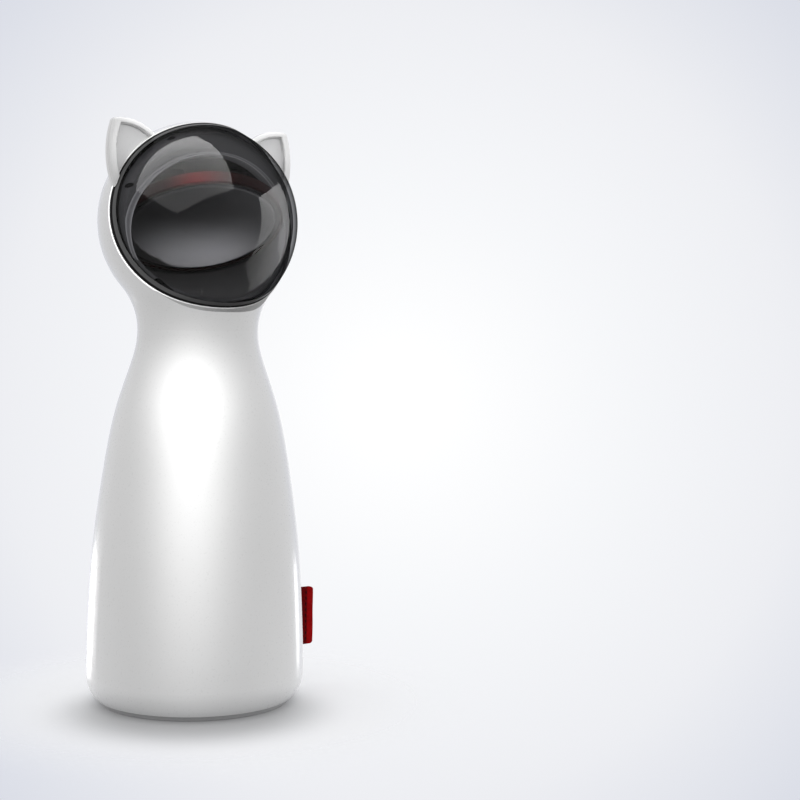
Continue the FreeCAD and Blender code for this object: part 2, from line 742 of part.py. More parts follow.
def tab_top():
    return HUB.z + SHAFT.z * (plate_start + plate_thick) + tab_rise


def motor_plate():
    """Carrier under the head's crown: plate across, spherical band that the bowl meets, and two screw tabs."""
    limit = math.sqrt(liner_outer ** 2 - (HUB - HEAD + SHAFT * plate_start).Length ** 2)
    disc = rod(limit + 4, along(plate_start), along(plate_start + plate_thick)).common(ball(liner_outer))
    keep = Part.makeBox(big, big, big, Vector(-big / 2, -plate_front, -big / 2))
    keep.Placement = SPIN
    disc = disc.common(keep).common(behind_visor())
    band = ball(liner_outer).cut(ball(liner_inner)).common(behind_visor())
    band = band.common(below_band(band_end)).cut(below_band(band_start))
    solids = [disc, band]
    for x in (-tab_x, tab_x):
        foot = tab_screw(x)
        base = HUB.z + SHAFT.z * plate_start - tab_foot
        solids.append(block(x - tab_half_width, x + tab_half_width, foot.y - tab_thick, foot.y,
                            base, foot.z + tab_half_width).cut(below_band(plate_start)))
    plate = join(solids)
    cuts = [rod(bush_radius, along(plate_start - 1), along(plate_start + plate_thick + 1)),
            rod(boss_radius + running_gap, along(plate_start - 1, s=motor_offset),
                along(plate_start + plate_thick + 1, s=motor_offset))]
    for x in (-tab_x, tab_x):
        foot = tab_screw(x)
        cuts.append(rod(screw_radius + screw_fit, foot - Y_AXIS * 2 * tab_thick, foot + Y_AXIS))
    for x in (-motor_screw_x, motor_screw_x):
        cuts.append(rod(motor_screw_radius + screw_fit, along(plate_start - 1, x, motor_offset),
                        along(plate_start + plate_thick + 1, x, motor_offset)))
    return plate.cut(cuts)


def shaft_bush():
    """Flanged brass bush pressed into the motor plate."""
    body = rod(bush_radius, along(plate_start), along(bush_top))
    flange = rod(bush_radius + bush_flange, along(plate_start - bush_flange_thick), along(plate_start))
    return join([body, flange]).cut(rod(shaft_radius + running_gap, along(plate_start - 2), along(bush_top + 1)))


# ---- laser -------------------------------------------------------------------------------------------
def laser_module():
    """Brass laser barrel with a stepped nose and its aperture."""
    base = Z_AXIS * laser_base
    end = base + Z_AXIS * laser_length
    barrel = rod(laser_radius, base, end)
    nose = rod(laser_radius + laser_nose_step, end - Z_AXIS * laser_nose, end)
    return join([barrel, nose]).cut(rod(aperture_radius, end - Z_AXIS * aperture_depth, end + Z_AXIS))


def laser_mount():
    """Clamp block that holds the barrel upright, with a flange for its two screws."""
    low, high = laser_screw_z - laser_block_half_height, laser_screw_z + laser_block_half_height
    back = laser_flange_y + laser_flange_thick
    body = block(-laser_block, laser_block, -laser_block, back, low, high)
    flange = block(-laser_flange_half, laser_flange_half, laser_flange_y, back, low, high)
    slit = block(-clamp_slit / 2, clamp_slit / 2, -2 * laser_block, 0, low - 1, high + 1)
    cuts = [rod(laser_radius + running_gap, Z_AXIS * (low - 1), Z_AXIS * (high + 1)), slit]
    for x in (-laser_screw_x, laser_screw_x):
        cuts.append(rod(screw_radius + screw_fit, Vector(x, laser_flange_y - 1, laser_screw_z),
                        Vector(x, back + 1, laser_screw_z)))
    return join([body, flange]).cut(cuts)


# ---- base and batteries ------------------------------------------------------------------------------
def base_radius():
    """Radius that fits inside the casing's bottom edge."""
    turn = corner_radius - wall
    return belly_radius - corner_radius + math.sqrt(turn ** 2 - (belly_height - foot_height) ** 2) - base_gap


def base_plate():
    """Bottom plate with the battery tube standing on it, the door recess, hinge slots and screw holes."""
    low, high = foot_height, foot_height + base_thick
    plate = Part.makeCylinder(base_radius(), base_thick, Vector(0, 0, low))
    plate = plate.cut(block(-opening_half, opening_half, -opening_half, opening_half, low - 1, high + 1))
    shelf = foot_height + door_thick + door_seat
    collar = block(-collar_half, collar_half, -collar_half, collar_half, shelf, shelf + collar_thick)
    tube = block(-tube_outer, tube_outer, -tube_outer, tube_outer, shelf, ceiling_z + tube_wall)
    inside = block(-tube_half, tube_half, -tube_half, tube_half, low - 1, ceiling_z)
    body = join([plate, collar, tube]).cut(inside)
    cuts = [rod(pin_radius + running_gap, Vector(-pin_half_length, pin_y, pin_z),
                Vector(pin_half_length, pin_y, pin_z))]
    for side in (-1, 1):
        near, far = knuckle_x[0] - door_gap, knuckle_x[1] + door_gap
        x0, x1 = sorted((side * near, side * far))
        cuts.append(block(x0, x1, door_half - 1, pin_y + knuckle_radius + 0.5, low - 1,
                          pin_z + knuckle_radius + door_gap))
    cuts.append(block(-latch_half - door_gap, latch_half + door_gap, -opening_half - finger_room, -tube_outer,
                      low - 1, high + 2 * collar_thick))
    for side, back in quarters:
        foot = base_screw(side, back)
        cuts.append(rod(screw_radius + screw_fit, foot, foot + Z_AXIS * 2 * base_thick))
        cuts.append(rod(screw_head_radius + head_fit, foot - Z_AXIS, foot + Z_AXIS * screw_head_height))
    return body.cut(cuts)


def foot_ring():
    """Grey rubber ring that the toy stands on."""
    outer = belly_radius - corner_radius + math.sqrt(
        corner_radius ** 2 - (belly_height - foot_height) ** 2) - foot_inset
    return revolve_outline([(outer - foot_width, 0), (outer - 0.4, 0), (outer, 0.4), (outer, foot_height),
                            (outer - foot_width, foot_height)])


def cell_places():
    """Middle of each cell and whether its button end is up."""
    return [(side * cell_pitch, back * cell_pitch, side == back) for side, back in quarters]


def battery_cells():
    """Four AA cells standing in the tube, each way up in turn."""
    cells = []
    for x, y, up in cell_places():
        foot = Vector(x, y, cell_base)
        can = rod(cell_radius, foot, foot + Z_AXIS * cell_length)
        nub_foot = foot + Z_AXIS * cell_length if up else foot - Z_AXIS * cell_nub
        cells.append(join([can, rod(nub_radius, nub_foot, nub_foot + Z_AXIS * cell_nub)]))
    return cells


def leaf(x, y, z, height, up):
    """Bent contact strip of one cell: a flat foot and a raised tongue, facing up or down."""
    sign = 1 if up else -1
    bend = strip_reach - strip_slope
    profile = [(-strip_reach, 0), (strip_reach, 0), (strip_reach, strip_thick), (bend, strip_thick),
               (strip_tongue, height), (-strip_tongue, height), (-strip_tongue, height - strip_thick),
               (strip_tongue - strip_thick, height - strip_thick), (bend - 2 * strip_thick, strip_thick),
               (-strip_reach, strip_thick)]
    points = [Vector(x + px, y - strip_half_width, z + sign * pz) for px, pz in profile]
    return polygon_prism(points, Y_AXIS * 2 * strip_half_width)


def leaf_height(button_end):
    """Height of a strip's tongue: lower under a button end."""
    return contact_room - 0.1 - (cell_nub if button_end else 0)


def battery_contacts():
    """Contact strips under the tube's ceiling."""
    return [leaf(x, y, ceiling_z, leaf_height(up), False) for x, y, up in cell_places()]


def door_contacts():
    """Contact strips on the battery door."""
    return [leaf(x, y, foot_height + door_thick, leaf_height(not up), True) for x, y, up in cell_places()]


def battery_door():
    """Square door with two hinge knuckles, a finger latch and stiffening ribs round its edge."""
    low, high = foot_height, foot_height + door_thick
    hinge_edge = opening_half - hinge_room
    plate = block(-door_half, door_half, -door_half, hinge_edge, low, high)
    solids = [plate]
    for side in (-1, 1):
        x0, x1 = sorted((side * knuckle_x[0], side * knuckle_x[1]))
        solids.append(block(x0, x1, hinge_edge - 1, pin_y, low, high))
        solids.append(rod(knuckle_radius, Vector(x0, pin_y, pin_z), Vector(x1, pin_y, pin_z)))
    latch_y = -tube_outer - door_gap
    solids.append(block(-latch_half, latch_half, latch_y - latch_thick, latch_y, low, high + latch_height))
    door = join(solids)
    bore = rod(pin_radius + running_gap, Vector(-door_half, pin_y, pin_z), Vector(door_half, pin_y, pin_z))
    grips = []
    for groove in range(grip_count):
        y = grip_pitch * (groove + 1.5) - door_half
        grips.append(block(-grip_half, grip_half, y, y + grip_pitch / 2, low - 1, low + grip_depth))
    return door.cut([bore] + grips)


def door_pin():
    """Steel hinge pin of the battery door."""
    return rod(pin_radius, Vector(-pin_half_length, pin_y, pin_z), Vector(pin_half_length, pin_y, pin_z))


# ---- electronics -------------------------------------------------------------------------------------
def button_inner_y():
    """Where the button's collar starts inside the casing."""
    return wall_y(button_z) - wall - collar_length


def wall_y(z):
    """How far back the casing's outer face is at a height."""
    probe = Part.LineSegment(Vector(0, 0, z), Vector(0, 2 * belly_radius, z)).toShape()
    return casing_form(0).common(probe).BoundBox.YMax


def switch_front_y():
    """Face of the switch, clear of the button's flange when it is pressed."""
    return button_inner_y() - button_flange - button_travel - 2 * fit_gap


def board_back_y():
    """Board face that carries the switch."""
    return switch_front_y() - switch_height


def board_front_y():
    return board_back_y() - board_thick


def board_screw_places():
    """Across and height of the board's two screws."""
    return [(-board_half_width + 3, board_z[0] + 3), (board_half_width - 3, board_z[0] + 3)]


def control_board():
    """Green board with its two screw holes."""
    board = block(-board_half_width, board_half_width, board_front_y(), board_back_y(), *board_z)
    holes = [rod(screw_radius + screw_fit, Vector(x, board_front_y() - 1, z), Vector(x, board_back_y() + 1, z))
             for x, z in board_screw_places()]
    return board.cut(holes)


def board_parts():
    """Chips, capacitors and sockets on the board's inner face."""
    face = board_front_y()
    low, high = board_z
    chip = block(-4, 4, face - 1.5, face, low + 14, low + 19)
    driver = block(-9, -5.5, face - 1.4, face, low + 24, low + 29)
    plugs = [block(x - 3, x + 3, face - 4.5, face, high - 6, high - 1.5) for x in (-8, 0, 8)]
    cans = [rod(2.5, Vector(x, face - 5.5, low + 8), Vector(x, face, low + 8)) for x in (-3.2, 3.2)]
    return [chip, driver] + plugs + cans


def tact_switch():
    """Push switch on the board's outer face, bored for its plunger."""
    body = block(-3, 3, board_back_y(), switch_front_y(), button_z - 3, button_z + 3)
    bore = Vector(0, switch_front_y(), button_z)
    return body.cut(rod(plunger_radius + running_gap, bore - Y_AXIS * (button_travel + 1.4), bore + Y_AXIS))


def switch_plunger():
    """Plunger between the switch and the button."""
    bore = Vector(0, switch_front_y(), button_z)
    return rod(plunger_radius, bore - Y_AXIS, Vector(0, button_inner_y() - button_flange, button_z))


def power_button():
    """Round button with a keeper flange inside the casing."""
    inner = button_inner_y()
    face = wall_y(button_z) + button_proud
    stem = rod(button_radius, Vector(0, inner - button_flange, button_z), Vector(0, face, button_z))
    flange = rod(button_radius + collar_wall, Vector(0, inner - button_flange, button_z),
                 Vector(0, inner - 0.1, button_z))
    dish = Part.makeSphere(18.0, Vector(0, face + 17.5, button_z))
    return join([stem, flange]).cut(dish)


def usb_seat_y():
    return wall_y(usb_z) - wall - usb_length + 0.6


def usb_shelf():
    """Shelf on the rear wall that carries the charging socket's board."""
    top = usb_z - usb_half_height - board_thick
    return block(-6.5, 6.5, usb_seat_y() - 4, belly_radius, top - 1.6, top).common(casing_form(wall / 2))


def usb_board():
    """Small board under the charging socket."""
    top = usb_z - usb_half_height
    return block(-6, 6, usb_seat_y() - 3.5, usb_seat_y() + usb_length - 1.2, top - board_thick, top)


def usb_socket():
    """Metal charging socket with its open mouth and contact tongue."""
    y0, y1 = usb_seat_y(), usb_seat_y() + usb_length
    shell = block(-usb_half_width, usb_half_width, y0, y1, usb_z - usb_half_height, usb_z + usb_half_height)
    mouth = block(-usb_half_width + 0.4, usb_half_width - 0.4, y0 + 1, y1 + 1,
                  usb_z - usb_half_height + 0.4, usb_z + usb_half_height - 0.4)
    tongue = block(-2.2, 2.2, y0 + 0.5, y1 - 1.0, usb_z - 0.3, usb_z + 0.3)
    return join([shell.cut(mouth), tongue])


# ---- fasteners and tag -------------------------------------------------------------------------------
def screw(head, direction, length):
    """Pan-head screw with a cross recess; head is the underside of its head."""
    shank = rod(screw_radius, head, head + direction * length)
    pan = rod(screw_head_radius, head - direction * screw_head_height, head)
    across = direction.cross(X_AXIS if abs(direction.x) < 0.5 else Y_AXIS).normalize()
    other = direction.cross(across)
    top = head - direction * screw_head_height
    slots = []
    for line in (across, other):
        slots.append(rod(screw_slot_radius, top - line * screw_slot_reach, top + line * screw_slot_reach))
    return join([shank, pan]).cut(slots)


def case_screw_group():
    return [screw(Vector(side * x, screw_floor, z), Y_AXIS * -1, case_screw_length)
            for x, z in case_screws for side in (-1, 1)]


def base_screw_group():
    return [screw(base_screw(side, back) + Z_AXIS * screw_head_height, Z_AXIS, base_screw_length)
            for side, back in quarters]


def plate_screw_group():
    return [screw(tab_screw(x) - Y_AXIS * tab_thick, Y_AXIS, small_screw_length) for x in (-tab_x, tab_x)]


def motor_screw_group():
    head_radius_small, head_height_small = motor_screw_head
    group = []
    for x in (-motor_screw_x, motor_screw_x):
        head = along(plate_start, x, motor_offset)
        shank = rod(motor_screw_radius, head, head + SHAFT * (plate_thick + motor_screw_depth))
        group.append(join([shank, rod(head_radius_small, head - SHAFT * head_height_small, head)]))
    return group


def board_screw_group():
    return [screw(Vector(x, board_front_y(), z), Y_AXIS, board_screw_length) for x, z in board_screw_places()]


def laser_screw_group():
    return [screw(Vector(x, laser_flange_y, laser_screw_z), Y_AXIS, small_screw_length)
            for x in (-laser_screw_x, laser_screw_x)]


def side_tag():
    """Folded fabric tag held in the seam, with its free corners rounded."""
    inner = math.sqrt(belly_radius ** 2 - tag_thick ** 2) - wall - tag_grip
    cloth = block(inner, tag_out, -tag_thick / 2, tag_thick / 2, *tag_z)
    return round_edges(cloth, tag_round, lambda edge: min(point.Point.x for point in edge.Vertexes)
                       > tag_out - fit_gap and edge.BoundBox.YLength > tag_thick / 2)


def build():
    os.makedirs("parts", exist_ok=True)
    pieces = {
        "front_shell": front_shell, "rear_shell": rear_shell, "lens_dome": lens_dome,
        "bezel_mask": bezel_mask, "inner_bowl": inner_bowl, "mirror_disc": mirror_disc,
        "mirror_holder": mirror_holder, "red_ring": red_ring, "mirror_shaft": mirror_shaft,
        "shaft_clip": shaft_clip, "mirror_gear": mirror_gear, "motor_pinion": motor_pinion,
        "motor_shaft": motor_shaft, "pan_motor": pan_motor, "motor_plate": motor_plate,
        "shaft_bush": shaft_bush, "laser_module": laser_module, "laser_mount": laser_mount,
        "base_plate": base_plate, "foot_ring": foot_ring, "battery_cells": battery_cells,
        "battery_contacts": battery_contacts, "door_contacts": door_contacts, "battery_door": battery_door,
        "door_pin": door_pin, "control_board": control_board, "board_parts": board_parts,
        "tact_switch": tact_switch, "switch_plunger": switch_plunger, "power_button": power_button,
        "usb_board": usb_board, "usb_socket": usb_socket, "case_screws": case_screw_group,
        "base_screws": base_screw_group, "plate_screws": plate_screw_group,
        "motor_screws": motor_screw_group, "board_screws": board_screw_group,
        "laser_screws": laser_screw_group, "side_tag": side_tag,
    }
    for name, make in pieces.items():
        save(name, make())


build()
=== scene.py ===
"""Looks of the cat laser toy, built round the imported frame. Metres, the frame's own axes.

White moulded casing, smoked dome over a dark mirror with a red rim, woven side tag, rubber foot.
"""
import bmesh
import bpy
import math
import numpy as np
from mathutils import Matrix, Vector


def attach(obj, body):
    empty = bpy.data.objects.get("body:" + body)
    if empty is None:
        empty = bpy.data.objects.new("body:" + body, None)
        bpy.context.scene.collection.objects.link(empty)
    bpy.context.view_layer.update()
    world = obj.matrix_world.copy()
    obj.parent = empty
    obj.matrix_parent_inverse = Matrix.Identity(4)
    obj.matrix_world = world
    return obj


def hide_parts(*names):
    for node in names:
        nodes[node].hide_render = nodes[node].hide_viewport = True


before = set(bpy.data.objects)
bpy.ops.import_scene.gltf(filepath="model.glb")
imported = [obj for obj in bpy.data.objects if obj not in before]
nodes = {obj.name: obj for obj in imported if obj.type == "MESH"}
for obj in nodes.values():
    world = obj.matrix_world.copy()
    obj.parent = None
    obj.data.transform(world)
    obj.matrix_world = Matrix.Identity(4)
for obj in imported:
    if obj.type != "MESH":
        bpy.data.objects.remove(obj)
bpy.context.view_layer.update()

# ---- sizes, in metres --------------------------------------------------------------------------------
head_height = 0.1718
head_radius = 0.0357
head_paint = 0.0342                      # the casing's inside is black up to this far from the head's centre
paint_edge = 0.00005                     # half the depth over which that paint starts
head_slack = 0.0001                      # surface nearer than this to the head's sphere isn't ear
ear_panel = 0.0022                       # the ears' sunk panels lie this far ahead of the seam
panel_slack = 0.00012                    # surface this near the panels' depth counts as panel
mirror_shade_lean = 1.4                        # painted shade: the disc darkens upwards, and this many times as fast to the left
mirror_shade_from, mirror_shade_to = -0.06, 0.03  # it does so between these heights over the head's centre
shine_cap, shine_share = 0.056, 0.26     # the dome's gloss is held at the first, then scaled by the second
merge_within = 1e-7                      # points nearer to each other than this are one point

visor_tilt = math.radians(8.9)           # the visor looks up by this much
# oval that the visor's edge follows, seen sideways
visor_middle, visor_bow, visor_half = 0.02035, 0.0182, 0.0355
edge_guess, edge_rounds = 1.3, 80        # first guess of an edge's angle in radians, and rounds of averaging
face_guess, face_rounds = 0.9, 60        # the same for the window's face, as a share of the radius
# rings along the visor's edge: radius of the sphere they lie on, shift forward, half width, half thickness
rim_ring = (head_radius, -0.0002, 0.0004, 0.00016)
# the second ring is black, painted shade standing for the shaded gap between the casing and the dome
gap_shade_ring = (0.0354, 0.0008, 0.0007, 0.0002)
border_ring = (0.03535, 0.0026, 0.0012, 0.0001)

mask_front, mask_rear, mask_wall = 0.0335, 0.0321, 0.0013
mask_shoulder, mask_back = 0.0022, -0.0026   # the surround steps in ahead of the first and ends at the second
mask_proud = 0.0001                          # no point of it lies further outside its front sphere
window_ahead, window_lean, window_bend = 0.01235, 0.215, 4.1    # the window's face: ahead + lean y - bend x x
window_wide, window_tall, window_drop = 0.0305, 0.02575, 0.005
window_deep, lip_proud, lip_wide, lip_thick = 0.0036, 0.00045, 0.0022, 0.001
plate_least, hair = 0.0006, 0.0001       # least width of the plate round the lip, and between two of its rows
sharp_edge = math.radians(35)            # the surround's edges look sharp above this angle

# dark pads, painted shade for the pits of pins and notches: clock and angle off the visor's middle in
# degrees, half size round the rim and across it in metres, and a power that squares the outline the more it
# is below 1
wells = ((31.3, 66.0, 0.0015, 0.0015, 1.0),
         (72.5, 74.6, 0.0009, 0.0024, 1.0),
         (141.5, 78.4, 0.0042, 0.0042, 0.35))
low_well = (180.0, 75.7, 0.0008, 0.0010, 1.0)
well_rise = 0.00009                      # how far a pad's middle stands off the surround

tag_root, tag_end = 0.0346, 0.0499       # the tag's hidden ends and its fold, from the toy's middle
tag_low, tag_high = 0.0148, 0.0366
tag_cloth = 0.00034                      # thickness
tag_gap = 0.00042                        # from the middle plane to the middle of each layer
tag_corner = 0.0014
tag_waver = 0.00007                      # how far the layers wander sideways at the fold
tag_band, band_edge = 0.0471, 0.0002     # the darker woven band ends here, blurred by this much each way
stitch_row = 0.0465
stitch_long, stitch_pitch, stitch_thick = 0.0014, 0.0022, 0.00022
stitch_lift, stitch_bow = 0.00005, 0.00008   # off the cloth at a stitch's middle, lower by this at its ends

floor_reach, floor_rings, floor_spokes = 0.4, 24, 96
painted_shade_depth = 0.5                        # share of the light that is left in the middle of the painted shade

# ---- nodes by where they show ------------------------------------------------------------------------
casing = ("front_shell", "rear_shell", "base_plate", "battery_door")

# ---- camera ------------------------------------------------------------------------------------------
picture_side = 800
camera_place = Vector((-0.2617, -0.4946, 0.1364))
camera_azimuth = -0.6173          # round +Z from the view along +Y
camera_rise = 0.0487              # the camera looks this much downwards
camera_roll = 0.0142
focal_pixels = 1543.5

# ---- light -------------------------------------------------------------------------------------------
# the studio's colours, by degrees from the camera's axis
sky_stops = ((0, (1.03, 1.03, 1.03)), (7.4, (0.93, 0.94, 0.96)), (14.5, (0.855, 0.863, 0.896)),
             (20.1, (0.708, 0.730, 0.799)), (50, (0.70, 0.70, 0.71)), (95, (0.72, 0.72, 0.72)),
             (130, (0.55, 0.55, 0.55)), (180, (0.38, 0.38, 0.38)))
ceiling_gain = 2.0                # overhead the studio is this much brighter
paper_glow = 0.24
painted_shade_middle = (-0.010, -0.018, 0)  # middle of the painted soft shade on the paper, under the toy's front
painted_shade_reach = (0.022, 0.060)
paper_fade = (0.032, 0.110)         # the floor sheet fades into the studio between these distances


# ---- node helpers ------------------------------------------------------------------------------------
def new_material(name):
    """Empty node material with a Principled shader wired to the output."""
    material = bpy.data.materials.new(name)
    material.use_nodes = True
    return material, material.node_tree.nodes["Principled BSDF"]


def add(material, kind, **values):
    """Adds a node; keyword values set its properties, or its inputs where no property has that name."""
    node = material.node_tree.nodes.new(kind)
    for key, value in values.items():
        if hasattr(node, key):
            setattr(node, key, value)
        else:
            node.inputs[key.replace("_", " ")].default_value = value
    return node


def link(material, out, into):
    """Joins one socket to another."""
    material.node_tree.links.new(out, into)


def object_coordinates(material, scale=(1, 1, 1)):
    """Object coordinates, scaled."""
    where = add(material, "ShaderNodeTexCoord")
    mapping = add(material, "ShaderNodeMapping", Scale=scale)
    link(material, where.outputs["Object"], mapping.inputs["Vector"])
    return mapping.outputs["Vector"]


def noise(material, vector, scale, detail=3.0, rough=0.55):
    """Grey noise at a place."""
    node = add(material, "ShaderNodeTexNoise", Scale=scale, Detail=detail, Roughness=rough)
    link(material, vector, node.inputs["Vector"])
    return node.outputs["Fac"]


def spread(material, value, low, high, from_low=0.3, from_high=0.7):
    """Maps a grey value to a range of numbers."""
    node = add(material, "ShaderNodeMapRange", From_Min=from_low, From_Max=from_high, To_Min=low, To_Max=high)
    link(material, value, node.inputs["Value"])
    return node.outputs["Result"]


def tint(material, value, dark, light, low=0.3, high=0.7):
    """Blends two colours by a grey value."""
    node = add(material, "ShaderNodeValToRGB")
    node.color_ramp.elements[0].position = low
    node.color_ramp.elements[0].color = (*dark, 1)
    node.color_ramp.elements[1].position = high
    node.color_ramp.elements[1].color = (*light, 1)
    link(material, value, node.inputs["Fac"])
    return node.outputs["Color"]


def math_node(material, operation, first, second):
    """Math node on two values, each a socket or a number."""
    node = add(material, "ShaderNodeMath", operation=operation)
    for value, socket in zip((first, second), node.inputs):
        if isinstance(value, bpy.types.NodeSocket):
            link(material, value, socket)
        else:
            socket.default_value = value
    return node.outputs["Value"]


def bump(material, shader, height, strength, distance):
    """Lets a grey value raise the shader's surface."""
    node = add(material, "ShaderNodeBump", Strength=strength, Distance=distance)
    link(material, height, node.inputs["Height"])
    link(material, node.outputs["Normal"], shader.inputs["Normal"])


def axes(material, vector):
    """The X, Y and Z of a vector, as the outputs of one node."""
    node = add(material, "ShaderNodeSeparateXYZ")
    link(material, vector, node.inputs["Vector"])
    return node.outputs


def over_base(material, share, colour, way="MIX"):
    """Lays a colour over the shader's base colour by a share."""
    base = material.node_tree.nodes["Principled BSDF"].inputs["Base Color"]
    blend = add(material, "ShaderNodeMixRGB", blend_type=way, Color2=(*colour, 1))
    link(material, share, blend.inputs["Fac"])
    link(material, base.links[0].from_socket, blend.inputs["Color1"])
    link(material, blend.outputs["Color"], base)


def moulded(name, dark, light, rough, grain=900.0, depth=0.00002, strength=0.25, mottle=40.0, coat=0.0,
            coat_rough=0.05, specular=0.5):
    """Moulded plastic: faint colour drift, a fine grain in the surface and an uneven gloss."""
    material, shader = new_material(name)
    place = object_coordinates(material)
    link(material, tint(material, noise(material, place, mottle), dark, light), shader.inputs["Base Color"])
    fine = noise(material, place, grain, 2.0)
    link(material, spread(material, fine, rough * 0.88, rough * 1.12), shader.inputs["Roughness"])
    if strength:
        bump(material, shader, fine, strength, depth)
    shader.inputs["Coat Weight"].default_value = coat
    shader.inputs["Coat Roughness"].default_value = coat_rough
    shader.inputs["Specular IOR Level"].default_value = specular
    return material


def metal(name, dark, light, rough, scale, stretch=(1, 1, 1)):
    """Metal with drawn or turned marks and an uneven gloss."""
    material, shader = new_material(name)
    place = object_coordinates(material, stretch)
    marks = noise(material, place, scale, 4.0)
    link(material, tint(material, marks, dark, light), shader.inputs["Base Color"])
    link(material, spread(material, marks, rough * 0.7, rough * 1.4), shader.inputs["Roughness"])
    shader.inputs["Metallic"].default_value = 1.0
    bump(material, shader, marks, 0.12, 0.00002)
    return material


# ---- finishes ----------------------------------------------------------------------------------------
def casing_finish(name, blackened=False):
    """Gloss white moulding. A blackened one is black inside the head, and its ear panels are greyed as
    painted shade in their recesses.
    """
    material = moulded(name, (0.80, 0.80, 0.80), (0.83, 0.83, 0.83), 0.30, grain=1400.0, depth=0.0,
                       strength=0.0, mottle=22.0, coat=1.0, coat_rough=0.15)
    if not blackened:
        return material
    shader = material.node_tree.nodes["Principled BSDF"]
    place = object_coordinates(material)
    depth = add(material, "ShaderNodeVectorMath", operation="DISTANCE")
    depth.inputs[1].default_value = (0, 0, head_height)
    link(material, place, depth.inputs[0])
    split = axes(material, place)
    level = add(material, "ShaderNodeMath", operation="COMPARE")
    level.inputs[1].default_value = -ear_panel
    level.inputs[2].default_value = panel_slack
    link(material, split["Y"], level.inputs[0])
    outside = math_node(material, "GREATER_THAN", depth.outputs["Value"], head_radius + head_slack)
    high = math_node(material, "GREATER_THAN", split["Z"], head_height)
    ear = math_node(material, "MULTIPLY", outside, high)
    # painted shade: the ears' sunk panels are laid over with grey
    over_base(material, math_node(material, "MULTIPLY", level.outputs["Value"], ear), (0.50, 0.50, 0.505))
    inner = spread(material, depth.outputs["Value"], 1.0, 0.0,
                   head_paint - paint_edge, head_paint + paint_edge)
    over_base(material, inner, (0.012, 0.012, 0.012))
    link(material, math_node(material, "SUBTRACT", 1.0, inner), shader.inputs["Coat Weight"])
    link(material, math_node(material, "SUBTRACT", 0.5, math_node(material, "MULTIPLY", inner, 0.45)),
         shader.inputs["Specular IOR Level"])
    return material


def dome_finish():
    """Smoke-tinted clear plastic. Light goes straight through and is dimmed more where it comes in slanted.

    Only outer faces carry gloss, which follows Fresnel and is held down towards the edge.
    """
    material, shader = new_material("smoked dome")
    tree = material.node_tree
    tree.nodes.remove(shader)
    clear = add(material, "ShaderNodeBsdfTransparent")
    gloss = add(material, "ShaderNodeBsdfGlossy", Color=(1, 1, 1, 1))
    haze = noise(material, object_coordinates(material), 30.0)
    slant = add(material, "ShaderNodeLayerWeight", Blend=0.5)
    smoke = tint(material, slant.outputs["Facing"], (0.75, 0.75, 0.76), (0.02, 0.02, 0.02), 0.55, 1.0)
    link(material, smoke, clear.inputs["Color"])
    link(material, spread(material, haze, 0.006, 0.014), gloss.inputs["Roughness"])
    fresnel = add(material, "ShaderNodeFresnel", IOR=1.45)
    held = math_node(material, "MINIMUM", fresnel.outputs["Fac"], shine_cap)
    side = add(material, "ShaderNodeNewGeometry")
    turned = math_node(material, "MULTIPLY", side.outputs["Backfacing"], shine_share)
    outer = math_node(material, "SUBTRACT", shine_share, turned)
    mix = add(material, "ShaderNodeMixShader")
    link(material, math_node(material, "MULTIPLY", held, outer), mix.inputs["Fac"])
    link(material, clear.outputs["BSDF"], mix.inputs[1])
    link(material, gloss.outputs["BSDF"], mix.inputs[2])
    link(material, mix.outputs["Shader"], tree.nodes["Material Output"].inputs["Surface"])
    return material


def mask_finish():
    """Dark satin plastic of the surround; the window's raised lip carries a painted highlight in lighter
    grey.
    """
    material = moulded("surround black", (0.050, 0.050, 0.0515), (0.062, 0.062, 0.064), 0.34, grain=700.0,
                       depth=0.00001, strength=0.3)
    chart = add(material, "ShaderNodeUVMap", uv_map="outline")
    lip = spread(material, axes(material, chart.outputs["UV"])["X"], 0.0, 1.0, 0.0, 1.0)
    # painted highlight along the window's lip
    over_base(material, lip, (0.30, 0.30, 0.305))
    return material


def mirror_finish():
    """Dark, partly metallic plastic. Painted shade darkens it, and its gloss drifts, from the lower right to
    the upper left.
    """
    material, shader = new_material("dark mirror")
    split = axes(material, object_coordinates(material))
    lean = math_node(material, "MULTIPLY", split["X"], mirror_shade_lean)
    slope = math_node(material, "SUBTRACT", split["Z"], lean)
    drift = spread(material, slope, 0.0, 1.0, head_height + mirror_shade_from, head_height + mirror_shade_to)
    # painted shade on the disc's colour
    shade = tint(material, drift, (0.44, 0.44, 0.442), (0.12, 0.12, 0.122), 0, 1)
    link(material, shade, shader.inputs["Base Color"])
    link(material, spread(material, drift, 0.26, 0.34, 0, 1), shader.inputs["Roughness"])
    shader.inputs["Metallic"].default_value = 0.5
    return material


def cell_finish():
    """Glossy sleeve round the cells, with bare metal on their flat ends."""
    material = moulded("cell sleeve", (0.05, 0.11, 0.07), (0.07, 0.15, 0.09), 0.25, grain=500.0,
                       depth=0.00001, strength=0.2)
    shader = material.node_tree.nodes["Principled BSDF"]
    facing = add(material, "ShaderNodeNewGeometry")
    upright = math_node(material, "ABSOLUTE", axes(material, facing.outputs["True Normal"])["Z"], 0)
    end = math_node(material, "GREATER_THAN", upright, 0.95)
    over_base(material, end, (0.62, 0.61, 0.58))
    link(material, end, shader.inputs["Metallic"])
    return material


